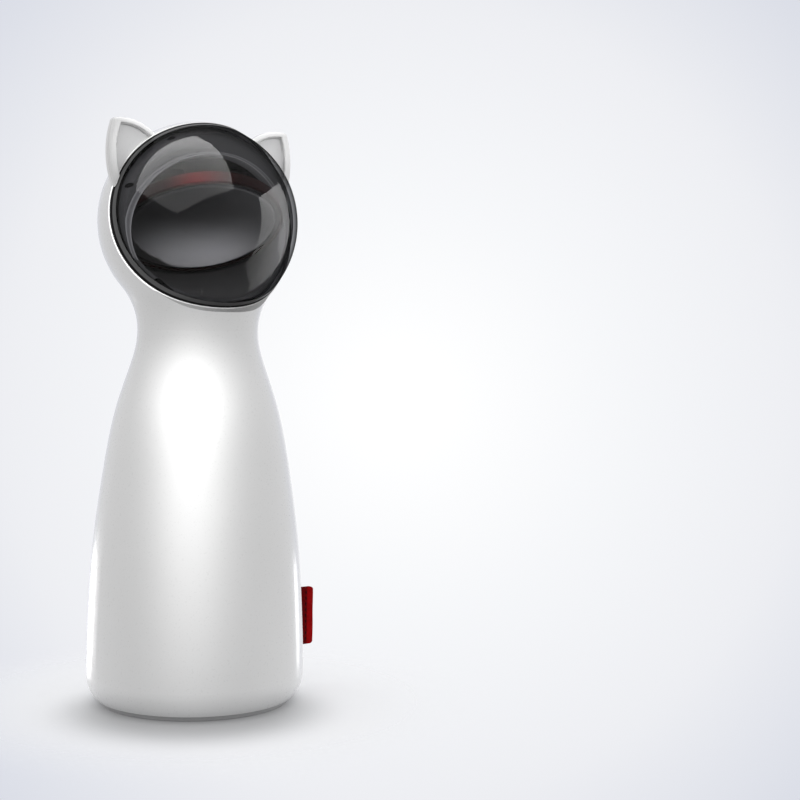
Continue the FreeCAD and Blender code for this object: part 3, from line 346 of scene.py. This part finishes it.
def ribbon_finish():
    """Plain-woven ribbon: threads over and under each other, in its own UV map in millimetres.

    The band next to the casing is darker.
    """
    material = moulded("tag cloth", (0.42, 0.002, 0.003), (0.52, 0.003, 0.005), 0.8, grain=300.0,
                       depth=0.00001, strength=0.2, mottle=500.0, specular=0.03)
    shader = material.node_tree.nodes["Principled BSDF"]
    chart = add(material, "ShaderNodeUVMap", uv_map="cloth")
    threads = []
    for direction in ("X", "Y"):
        wave = add(material, "ShaderNodeTexWave", bands_direction=direction, Scale=0.9)
        link(material, chart.outputs["UV"], wave.inputs["Vector"])
        threads.append(wave.outputs["Fac"])
    cross = add(material, "ShaderNodeTexChecker", Scale=2.865)
    link(material, chart.outputs["UV"], cross.inputs["Vector"])
    over = add(material, "ShaderNodeMixRGB")
    link(material, cross.outputs["Fac"], over.inputs["Fac"])
    link(material, threads[0], over.inputs["Color1"])
    link(material, threads[1], over.inputs["Color2"])
    bump(material, shader, over.outputs["Color"], 0.9, 0.00008)
    out = axes(material, object_coordinates(material))["X"]
    dark = spread(material, out, 1.0, 0.0, tag_band - band_edge, tag_band + band_edge)
    over_base(material, dark, (0.42, 0.42, 0.42), "MULTIPLY")
    threaded = add(material, "ShaderNodeMixRGB", blend_type="MULTIPLY", Fac=0.5)
    link(material, shader.inputs["Base Color"].links[0].from_socket, threaded.inputs["Color1"])
    link(material, over.outputs["Color"], threaded.inputs["Color2"])
    link(material, threaded.outputs["Color"], shader.inputs["Base Color"])
    shader.inputs["Sheen Weight"].default_value = 0.03
    return material


def finish_nodes():
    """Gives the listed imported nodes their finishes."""
    white = casing_finish("white casing")
    satin_black = moulded("satin black", (0.020, 0.020, 0.021), (0.028, 0.028, 0.030), 0.42, grain=700.0,
                          depth=0.00001, strength=0.3)
    gear = moulded("gear plastic", (0.72, 0.72, 0.68), (0.80, 0.80, 0.76), 0.40)
    rubber = moulded("grey rubber", (0.44, 0.44, 0.445), (0.50, 0.50, 0.505), 0.75, grain=1500.0,
                     depth=0.00003, strength=0.5)
    steel = metal("plated steel", (0.50, 0.50, 0.51), (0.66, 0.66, 0.67), 0.26, 300.0, (1, 1, 6))
    brass = metal("turned brass", (0.62, 0.46, 0.20), (0.78, 0.60, 0.30), 0.25, 300.0, (1, 1, 8))
    nickel = metal("nickel strip", (0.58, 0.57, 0.54), (0.72, 0.71, 0.68), 0.30, 260.0, (1, 6, 1))
    board = moulded("board green", (0.02, 0.15, 0.06), (0.03, 0.21, 0.09), 0.35, grain=500.0, strength=0.2,
                    mottle=120.0)
    grey = moulded("button grey", (0.46, 0.46, 0.47), (0.50, 0.50, 0.51), 0.5, grain=1200.0, strength=0.4)
    red = moulded("red plastic", (0.022, 0.0012, 0.0012), (0.028, 0.0016, 0.0016), 0.5, grain=600.0,
                  depth=0.00001, strength=0.2, specular=0.1)
    bowl = moulded("bowl grey", (0.036, 0.035, 0.035), (0.044, 0.043, 0.043), 0.45, grain=700.0,
                   depth=0.00001, strength=0.3)
    given = {
        casing_finish("white head casing", True): ("front_shell", "rear_shell"),
        white: ("base_plate", "battery_door"),
        bowl: ("inner_bowl",),
        satin_black: ("bezel_mask", "pan_motor", "mirror_holder", "motor_plate", "laser_mount", "board_parts",
                      "tact_switch", "switch_plunger"),
        gear: ("mirror_gear", "motor_pinion"),
        rubber: ("foot_ring",),
        steel: ("mirror_shaft", "shaft_clip", "motor_shaft", "door_pin", "usb_socket", "case_screws",
                "base_screws", "plate_screws", "motor_screws", "board_screws", "laser_screws"),
        brass: ("shaft_bush", "laser_module"),
        nickel: ("battery_contacts", "door_contacts"),
        board: ("control_board", "usb_board"),
        cell_finish(): ("battery_cells",),
        grey: ("power_button",),
        red: ("red_ring",),
        mirror_finish(): ("mirror_disc",),
        dome_finish(): ("lens_dome",),
    }
    for material, names in given.items():
        for name in names:
            nodes[name].data.materials.clear()
            nodes[name].data.materials.append(material)


# ---- stage -------------------------------------------------------------------------------------------
def paper_floor():
    """Round floor sheet of pale paper: rings and spokes of points in the plane z = 0.

    Near the toy it takes the toy's shadow, on a painted soft shade of its own; further out it turns clear, so
    that no edge shows.
    """
    radius = np.linspace(0, 1, floor_rings)[:, None] * floor_reach
    turn = np.linspace(0, 2 * math.pi, floor_spokes, endpoint=False)
    flat = np.stack([radius * np.cos(turn), radius * np.sin(turn), 0 * radius * turn], -1)
    floor = grid_mesh("paper_floor", flat, wrap=True)
    material, shader = new_material("paper")
    tree = material.node_tree
    where = add(material, "ShaderNodeTexCoord")
    far = add(material, "ShaderNodeVectorMath", operation="LENGTH")
    link(material, where.outputs["Object"], far.inputs[0])
    share = add(material, "ShaderNodeMapRange", From_Min=paper_fade[0], From_Max=paper_fade[1],
                interpolation_type="SMOOTHSTEP")
    link(material, far.outputs["Value"], share.inputs["Value"])
    under = add(material, "ShaderNodeVectorMath", operation="DISTANCE")
    under.inputs[1].default_value = painted_shade_middle
    link(material, where.outputs["Object"], under.inputs[0])
    # painted shade: the paper's colour and glow dim towards a point under the toy's front
    lit = add(material, "ShaderNodeMapRange", From_Min=painted_shade_reach[0], From_Max=painted_shade_reach[1],
              To_Min=painted_shade_depth, interpolation_type="SMOOTHERSTEP")
    link(material, under.outputs["Value"], lit.inputs["Value"])
    link(material, tint(material, lit.outputs["Result"], (0, 0, 0), (0.66, 0.665, 0.675), 0, 1),
         shader.inputs["Base Color"])
    shader.inputs["Roughness"].default_value = 0.8
    shader.inputs["Emission Color"].default_value = (0.98, 0.985, 1, 1)
    link(material, math_node(material, "MULTIPLY", lit.outputs["Result"], paper_glow),
         shader.inputs["Emission Strength"])
    clear = add(material, "ShaderNodeBsdfTransparent")
    mix = add(material, "ShaderNodeMixShader")
    link(material, share.outputs["Result"], mix.inputs["Fac"])
    link(material, shader.outputs["BSDF"], mix.inputs[1])
    link(material, clear.outputs["BSDF"], mix.inputs[2])
    link(material, mix.outputs["Shader"], tree.nodes["Material Output"].inputs["Surface"])
    floor.data.materials.append(material)


def grid_mesh(name, points, wrap=False):
    """Mesh of one or more grids of points, rows by columns; wrap joins the last column to the first."""
    rows, columns = points.shape[-3:-1]
    index = np.arange(points.size // 3).reshape(-1, rows, columns)
    if wrap:
        index = np.concatenate([index, index[..., :1]], -1)
    corners = [index[:, :-1, :-1], index[:, :-1, 1:], index[:, 1:, 1:], index[:, 1:, :-1]]
    mesh = bpy.data.meshes.new(name)
    mesh.from_pydata(points.reshape(-1, 3).tolist(), [], np.stack(corners, -1).reshape(-1, 4).tolist())
    mesh.polygons.foreach_set("use_smooth", np.ones(len(mesh.polygons), bool))
    piece = bpy.data.objects.new(name, mesh)
    bpy.context.scene.collection.objects.link(piece)
    return piece


def close_up(piece):
    """Merges doubled points at seams and poles and turns every face outwards."""
    shape = bmesh.new()
    shape.from_mesh(piece.data)
    bmesh.ops.remove_doubles(shape, verts=shape.verts, dist=merge_within)
    bmesh.ops.recalc_face_normals(shape, faces=shape.faces)
    shape.to_mesh(piece.data)
    shape.free()


def chart_grid(piece, name, across, along):
    """UV map for a one-grid mesh: each point's own two lengths, in millimetres."""
    layer = piece.data.uv_layers.new(name=name)
    corner = np.empty(len(piece.data.loops), int)
    piece.data.loops.foreach_get("vertex_index", corner)
    flat = np.stack([across.ravel()[corner], along.ravel()[corner]], -1) * 1000
    layer.data.foreach_set("uv", flat.ravel())


def tag_ribbon():
    """Folded cloth tag: two flat layers joined by a half-round fold, with its free corners rounded.

    A point is (distance along the ribbon, height). The distance runs out at one side of the middle plane,
    round the fold and back at the other side. Near the fold the height shrinks along a quarter circle. Both
    layers wander sideways by a slow sine that grows towards the fold.
    """
    straight = tag_end - tag_cloth / 2 - tag_gap - tag_root
    fold = math.pi * tag_gap
    long = 2 * straight + fold
    along = np.concatenate([np.linspace(0, straight, 40, endpoint=False),
                            straight + np.linspace(0, fold, 13),
                            long - np.linspace(straight, 0, 41)[1:]])[:, None]
    share = np.linspace(-1, 1, 61)
    turn = np.clip((along - straight) / tag_gap, 0, math.pi)
    out = np.minimum(along, long - along).clip(max=straight) + tag_gap * np.sin(turn)
    x = tag_root + out
    y = -tag_gap * np.cos(turn)
    short = np.clip(out - (straight + tag_gap - tag_corner), 0, tag_corner)
    half = (tag_high - tag_low) / 2 - tag_corner + np.sqrt(tag_corner ** 2 - short ** 2)
    z = (tag_high + tag_low) / 2 + half * share
    drift = tag_waver * np.sin(share * 5.1 + 0.6) * (out / straight) ** 2
    points = np.stack(np.broadcast_arrays(x, y + drift, z), -1)
    tag = grid_mesh("tag_ribbon", points)
    chart_grid(tag, "cloth", np.broadcast_to(along, z.shape), z)
    thick = tag.modifiers.new("cloth", "SOLIDIFY")
    thick.thickness = tag_cloth
    thick.offset = 0
    tag.data.materials.append(ribbon_finish())
    return tag, long


def tag_stitches():
    """Row of thread stitches on both faces of the tag.

    Each is a tube whose radius falls to nothing at its ends as a circle does, bowed a little off the cloth.
    """
    count = int((tag_high - tag_low - stitch_pitch / 2) / stitch_pitch)
    middle = (tag_high + tag_low) / 2 + (np.arange(count) - (count - 1) / 2) * stitch_pitch
    share = np.linspace(-1, 1, 9)[:, None]
    turn = np.linspace(0, 2 * math.pi, 10, endpoint=False)
    radius = stitch_thick * np.sqrt(1 - share ** 2) ** 0.7
    face = tag_gap + tag_cloth / 2 + stitch_lift - stitch_bow * share ** 2
    x = stitch_row + radius * np.cos(turn)
    y = face + radius * np.sin(turn) * 0.8
    z = middle[:, None, None] + stitch_long / 2 * share + 0 * turn
    one_side = np.stack(np.broadcast_arrays(x, y, z), -1)
    stitches = grid_mesh("tag_stitches", np.concatenate([one_side, one_side * (1, -1, 1)]), wrap=True)
    close_up(stitches)
    thread = moulded("tag thread", (0.020, 0.002, 0.003), (0.035, 0.003, 0.004), 0.8, grain=2500.0,
                     depth=0.00005, strength=0.6, specular=0.1)
    stitches.data.materials.append(thread)
    return stitches


def cloth_tag():
    """The woven tag with its stitches, in place of the plain one."""
    tag, long = tag_ribbon()
    stitches = tag_stitches()
    for piece in (tag, stitches):
        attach(piece, "root")
    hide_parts("side_tag")


def on_ball(clock, angle, radius):
    """Point (right, up, out) on a ball. The clock angle starts straight up; both angles are in radians."""
    side, up, out = np.sin(clock) * np.sin(angle), np.cos(clock) * np.sin(angle), np.cos(angle)
    return np.stack(np.broadcast_arrays(side * radius, up * radius, out * radius), -1)


def visor_to_frame(points):
    """Turns visor axes (right, up, out) to the frame's: tips them by the visor's tilt and lifts them."""
    tip, dip = math.cos(visor_tilt), math.sin(visor_tilt)
    side, up, out = points[..., 0], points[..., 1], points[..., 2]
    return np.stack([side, dip * up - tip * out, tip * up + dip * out + head_height], -1)


def edge_angle(clock, radius, shift):
    """Angle off the visor's middle where a sphere meets the visor's edge moved forward by shift.

    The edge's distance ahead is middle minus bow times the root of 1 less the square of height over half
    height. The angle whose cosine gives that distance is found by repeated averaging.
    """
    angle = np.full_like(clock, edge_guess)
    for _ in range(edge_rounds):
        high = radius * np.cos(clock) * np.sin(angle)
        ahead = visor_middle + shift - visor_bow * np.sqrt(np.clip(1 - (high / visor_half) ** 2, 0, 1))
        angle = (angle + np.arccos(np.clip(ahead / radius, -1, 1))) / 2
    return angle


def edge_ring(name, radius, shift, half_wide, half_high):
    """Closed ring along the visor's edge: an oval tube whose centre line is the edge curve on a sphere.

    Across the tube a point lies at the centre, plus half_wide cos u along the sphere, plus half_high sin u
    off the sphere.
    """
    clock = np.linspace(0, 2 * math.pi, 361)[:-1]
    line = visor_to_frame(on_ball(clock, edge_angle(clock, radius, shift), radius))
    run = np.roll(line, -1, 0) - np.roll(line, 1, 0)
    run /= np.linalg.norm(run, axis=1)[:, None]
    off = (line - (0, 0, head_height)) / radius
    across = np.cross(run, off)
    turn = np.linspace(0, 2 * math.pi, 17)[:-1, None, None]
    tube = line + half_wide * np.cos(turn) * across + half_high * np.sin(turn) * off
    ring = grid_mesh(name, np.concatenate([tube, tube[:1]]), wrap=True)
    close_up(ring)
    return ring


def window_face(side, up):
    """Distance ahead of the window's bent face."""
    return window_ahead + window_lean * up - window_bend * side ** 2


def visor_surround():
    """Surround inside the dome: a ring with one closed outline at every angle t round its oval window.

    The outline runs from the visor's edge over the sphere to where it meets the bent window face, along that
    face to the lip round the oval (wide sin t, tall cos t less the drop), down the lip's inside and back
    behind.
    """
    turn = np.linspace(0, 2 * math.pi, 361)[:-1]
    lip = np.stack([window_wide * np.sin(turn), window_tall * np.cos(turn) - window_drop], -1)
    clock = np.arctan2(lip[:, 0], lip[:, 1])
    ray = np.stack([np.sin(clock), np.cos(clock)], -1)

    def face_meets(radius, back):
        reach = np.full_like(clock, radius * face_guess)
        for _ in range(face_rounds):
            ahead = window_face(reach * ray[:, 0], reach * ray[:, 1]) - back
            reach = (reach + np.sqrt(radius ** 2 - ahead ** 2)) / 2
        return reach

    rim = face_meets(mask_front, 0)
    gap = np.minimum(np.linalg.norm(lip, axis=1), rim - plate_least)

    def on_face(reach, lift):
        flat = reach[:, None] * ray
        return np.concatenate([flat, (window_face(flat[:, 0], flat[:, 1]) + lift)[:, None]], -1)

    def over_ball(radius, back):
        outer = edge_angle(clock, radius, mask_shoulder)
        inner = np.arcsin(face_meets(radius, back) / radius)
        return [on_ball(clock, outer + (inner - outer) * share, radius) for share in np.linspace(0, 1, 14)]

    def at_edge(radius, shift):
        return [on_ball(clock, edge_angle(clock, radius, shift), radius)]

    wide = np.minimum(gap + lip_wide * (0.4 + 0.6 * np.sin(turn) ** 2), rim - hair)
    front = at_edge(mask_rear, mask_back) + at_edge(mask_rear, mask_shoulder) + over_ball(mask_front, 0)
    plate = [on_face(rim + (wide - rim) * share, 0) for share in np.linspace(0, 1, 6)[1:]]
    raised = [on_face(gap + (wide - gap) * share, lip_proud) for share in (1, 0.7, 0.4, 0)]
    behind = np.minimum(gap + lip_thick, wide)
    inner_lip = [on_face(gap, -window_deep), on_face(behind, -window_deep), on_face(behind, -mask_wall)]
    back = over_ball(mask_front - mask_wall, mask_wall)[::-1]
    rows = front + plate + raised + inner_lip + back + at_edge(mask_rear - mask_wall, mask_back)
    rows.append(rows[0])
    points = np.stack(rows)
    size = np.linalg.norm(points, axis=-1, keepdims=True)
    points = points * np.minimum(1, (mask_front + mask_proud) / size)
    mask = grid_mesh("visor_surround", visor_to_frame(points), wrap=True)
    lip_highlight_row = np.zeros(len(rows))   # how far each row carries the lip's painted highlight, in thousandths
    lip_highlight_row[len(front) + len(plate):][:5] = 0.001, 0.0003, 0.0003, 0.001, 0.0004
    chart_grid(mask, "outline", *np.broadcast_arrays(lip_highlight_row[:, None], turn))
    close_up(mask)
    mask.data.set_sharp_from_angle(angle=sharp_edge)
    mask.data.materials.append(mask_finish())
    return mask


def dome_wells():
    """Black pads on the surround, painted shade that stands for its pits: round for pins, squared for
    notches.

    A pad's point at share s and turn u is s times (half width, half length) times cos and sin of u, each
    raised to a power that squares the outline. It lies off the sphere by well_rise times the root of 1 less
    the square of s, outwards on one side of the pad and inwards on the other.
    """
    place = np.array([(side * well[0], *well[1:]) for well in wells for side in (-1, 1)] + [low_well])
    clock, ahead = np.radians(place[:, 0]), np.radians(place[:, 1])
    half_wide, half_long, power = place[:, 2:].T[..., None, None]
    tilt = np.linspace(-math.pi / 2, math.pi / 2, 13)[:, None]
    turn = np.linspace(0, 2 * math.pi, 41)[:-1]
    share = np.cos(tilt)
    across = share * half_wide * np.sign(np.cos(turn)) * np.abs(np.cos(turn)) ** power
    along = share * half_long * np.sign(np.sin(turn)) * np.abs(np.sin(turn)) ** power
    off = mask_front + well_rise * np.sin(tilt) + 0 * across
    clock = clock[:, None, None] + across / (mask_front * np.sin(ahead)[:, None, None])
    ahead = ahead[:, None, None] + along / mask_front
    pads = grid_mesh("dome_wells", visor_to_frame(on_ball(clock, ahead, off)), wrap=True)
    close_up(pads)
    return pads


def visor_parts():
    """The rings round the dome, the surround in place of the plain one, and its dark pads."""
    rim = edge_ring("visor_rim", *rim_ring)
    rim.data.materials.append(casing_finish("white rim"))
    # painted shade: a black ring in the gap between the casing and the dome
    gap_shade = edge_ring("dome_gap_shade", *gap_shade_ring)
    gap_shade.data.materials.append(moulded("seal black", (0.004, 0.004, 0.004), (0.006, 0.006, 0.006), 0.6,
                                       depth=0.00001, strength=0.2, specular=0.1))
    border = edge_ring("dome_border", *border_ring)
    border.data.materials.append(moulded("border grey", (0.018, 0.018, 0.0185), (0.023, 0.023, 0.0235), 0.4,
                                         depth=0.00001, strength=0.2))
    surround, pads = visor_surround(), dome_wells()
    # painted shade: the pads' black stands for the shade inside the pits
    pads.data.materials.append(moulded("well black", (0.004, 0.004, 0.004), (0.006, 0.006, 0.006), 0.7,
                                       depth=0.00001, strength=0.2, specular=0.05))
    for piece, slot in ((rim, "white_casing"), (gap_shade, "black_plastic"), (surround, "black_plastic"),
                        (border, "black_plastic"), (pads, "black_plastic")):
        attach(piece, "root")
    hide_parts("bezel_mask")


def toward(azimuth, rise):
    """Unit vector for a direction in radians: azimuth 0 is the toy's front (-Y), a quarter turn is +X."""
    return Vector((math.sin(azimuth) * math.cos(rise), -math.cos(azimuth) * math.cos(rise), math.sin(rise)))


def softbox(name, lights, azimuth, rise, distance, wide, high, power, aim=(0, 0, head_height), beam=180,
            shift=(0, 0), turn=0.0):
    """Rectangular light that faces the point aim from a direction and lights only the named nodes and pieces.

    azimuth, rise, beam and turn are in degrees. shift slides it in its own plane, and turn turns it there.
    """
    out = toward(math.radians(azimuth), math.radians(rise))
    data = bpy.data.lights.new(name, "AREA")
    data.shape = "RECTANGLE"
    data.size, data.size_y = wide, high
    data.energy = power
    data.spread = math.radians(beam)
    lamp = bpy.data.objects.new(name, data)
    lamp.matrix_world = (Matrix.Translation(out * distance + Vector(aim))
                         @ (-out).to_track_quat("-Z", "Y").to_matrix().to_4x4()
                         @ Matrix.Translation((shift[0], shift[1], 0))
                         @ Matrix.Rotation(math.radians(turn), 4, "Z"))
    bpy.context.scene.collection.objects.link(lamp)
    lamp.visible_camera = False
    lit = bpy.data.collections.new("lit_by_" + name)
    for node in lights:
        lit.objects.link(nodes[node] if node in nodes else bpy.data.objects[node])
    lamp.light_linking.receiver_collection = lit
    return lamp


def graded(lamp, low, high, across=True, start=0.0):
    """Makes a softbox brighten evenly from low to high, from corner to corner or from edge to edge.

    The way across counts from 0 to 2, and the brightening starts at the place start.
    """
    lamp.data.use_nodes = True
    tree = lamp.data.node_tree
    place = tree.nodes.new("ShaderNodeNewGeometry")
    split = tree.nodes.new("ShaderNodeSeparateXYZ")
    along = tree.nodes.new("ShaderNodeMath")
    share = tree.nodes.new("ShaderNodeMapRange")
    tree.links.new(place.outputs["Parametric"], split.inputs["Vector"])
    tree.links.new(split.outputs["X" if across else "Y"], along.inputs[0])
    tree.links.new(split.outputs["Y"], along.inputs[1])
    tree.links.new(along.outputs["Value"], share.inputs["Value"])
    share.inputs["From Min"].default_value = start
    share.inputs["From Max"].default_value = 2.0
    share.inputs["To Min"].default_value = low
    share.inputs["To Max"].default_value = high
    tree.links.new(share.outputs["Result"], tree.nodes["Emission"].inputs["Strength"])


def studio():
    """Pale studio, brightest behind the toy and dimmer to the sides, by the angle from the camera's axis."""
    world = bpy.data.worlds.new("studio")
    bpy.context.scene.world = world
    world.use_nodes = True
    background = world.node_tree.nodes["Background"]
    where = add(world, "ShaderNodeTexCoord")
    ahead = add(world, "ShaderNodeVectorMath", operation="DOT_PRODUCT")
    ahead.inputs[1].default_value = -toward(camera_azimuth, camera_rise)
    link(world, where.outputs["Generated"], ahead.inputs[0])
    angle = add(world, "ShaderNodeMath", operation="ARCCOSINE")
    link(world, ahead.outputs["Value"], angle.inputs[0])
    share = add(world, "ShaderNodeMath", operation="DIVIDE")
    share.inputs[1].default_value = math.pi
    link(world, angle.outputs["Value"], share.inputs[0])
    ramp = add(world, "ShaderNodeValToRGB")
    elements = ramp.color_ramp.elements
    for degrees, _ in sky_stops[1:-1]:
        elements.new(degrees / 180)
    for element, (degrees, colour) in zip(elements, sky_stops):
        element.position = degrees / 180
        element.color = (*colour, 1)
    link(world, share.outputs["Value"], ramp.inputs["Fac"])
    link(world, ramp.outputs["Color"], background.inputs["Color"])
    height = add(world, "ShaderNodeSeparateXYZ")
    link(world, where.outputs["Generated"], height.inputs["Vector"])
    gain = spread(world, height.outputs["Z"], 1.0, ceiling_gain, 0.35, 1.0)
    link(world, gain, background.inputs["Strength"])


def light_stage():
    """The studio, the casing's highlights, a light for each dark piece, and what the dome mirrors."""
    studio()
    upper = softbox("upper_band", casing, azimuth=-34, rise=35, distance=0.6, wide=0.004, high=0.030,
                    power=0.0010, aim=(0, 0, 0.101), beam=4)
    lower = softbox("lower_band", casing, azimuth=-31, rise=6, distance=0.6, wide=0.018, high=0.12,
                    power=0.0049, aim=(0, 0, 0.055), beam=4)
    graded(lower, 0.05, 1.95, across=False)
    ears = [softbox("ear_beam_" + side, ("front_shell",), azimuth=15, rise=34, distance=0.5, wide=0.008,
                    high=0.008, power=0.0006, aim=place, beam=3)
            for side, place in (("left", (-0.027, -0.003, 0.198)), ("right", (0.027, -0.003, 0.198)))]
    for name, azimuth, power in (("left_edge_light", -174, 0.007), ("right_edge_light", 112, 0.0012)):
        lamp = softbox(name, casing, azimuth, rise=-8, distance=0.6, wide=0.15, high=0.1, power=power,
                       aim=(0, 0, 0.022), beam=16)
        # only the casing shades it, so that it can stand below the floor
        lamp.light_linking.blocker_collection = lamp.light_linking.receiver_collection
    softbox("rim_light", ("visor_rim",), azimuth=-60, rise=-10, distance=0.6, wide=0.3, high=0.6, power=5.0)
    softbox("surround_light", ("visor_surround", "dome_border"), azimuth=-50, rise=0, distance=0.8, wide=0.4,
            high=0.4, power=10.0)
    ring = softbox("ring_beam", ("red_ring",), azimuth=-40, rise=4, distance=0.5, wide=0.01, high=0.01,
                   power=0.0070, aim=(-0.012, -0.0225, 0.1845), beam=2)
    disc = softbox("disc_beam", ("mirror_disc",), azimuth=-25, rise=-14, distance=0.5, wide=0.04, high=0.010,
                   power=0.0130, aim=(0.004, 0.010, 0.160), beam=4)
    softbox("bowl_light", ("inner_bowl",), azimuth=-30, rise=30, distance=0.5, wide=0.2, high=0.2, power=3.6,
            aim=(0.007, 0.017, 0.1475))
    for lamp in [upper, lower, ring, disc] + ears:
        lamp.visible_glossy = False
    overhead = softbox("overhead_softbox", ("lens_dome",), azimuth=-43.5, rise=60.9, distance=0.8, wide=1.475,
                       high=1.475, power=70.0, shift=(-0.19, -0.107), turn=45)
    graded(overhead, 0.4, 2.1, start=0.7)
    side = softbox("side_softbox", ("lens_dome",), azimuth=80, rise=-5, distance=0.23, wide=0.23, high=0.36,
                   power=2.0, shift=(-0.055, -0.037))
    graded(side, 0.3, 1.7, across=False)


def place_camera():
    """Camera turned by its azimuth, rise and roll."""
    back = toward(camera_azimuth, camera_rise)
    right = Vector((math.cos(camera_azimuth), math.sin(camera_azimuth), 0))
    up = back.cross(right)
    right, up = (right * math.cos(camera_roll) + up * math.sin(camera_roll),
                 up * math.cos(camera_roll) - right * math.sin(camera_roll))
    data = bpy.data.cameras.new("camera")
    data.sensor_width = 36
    data.lens = focal_pixels / picture_side * data.sensor_width
    camera = bpy.data.objects.new("camera", data)
    turn = Matrix((right, up, back)).transposed().to_4x4()
    camera.matrix_world = Matrix.Translation(camera_place) @ turn
    bpy.context.scene.collection.objects.link(camera)
    bpy.context.scene.camera = camera


place_camera()
paper_floor()
finish_nodes()
visor_parts()
cloth_tag()
light_stage()
bpy.context.scene.view_settings.view_transform = "Standard"
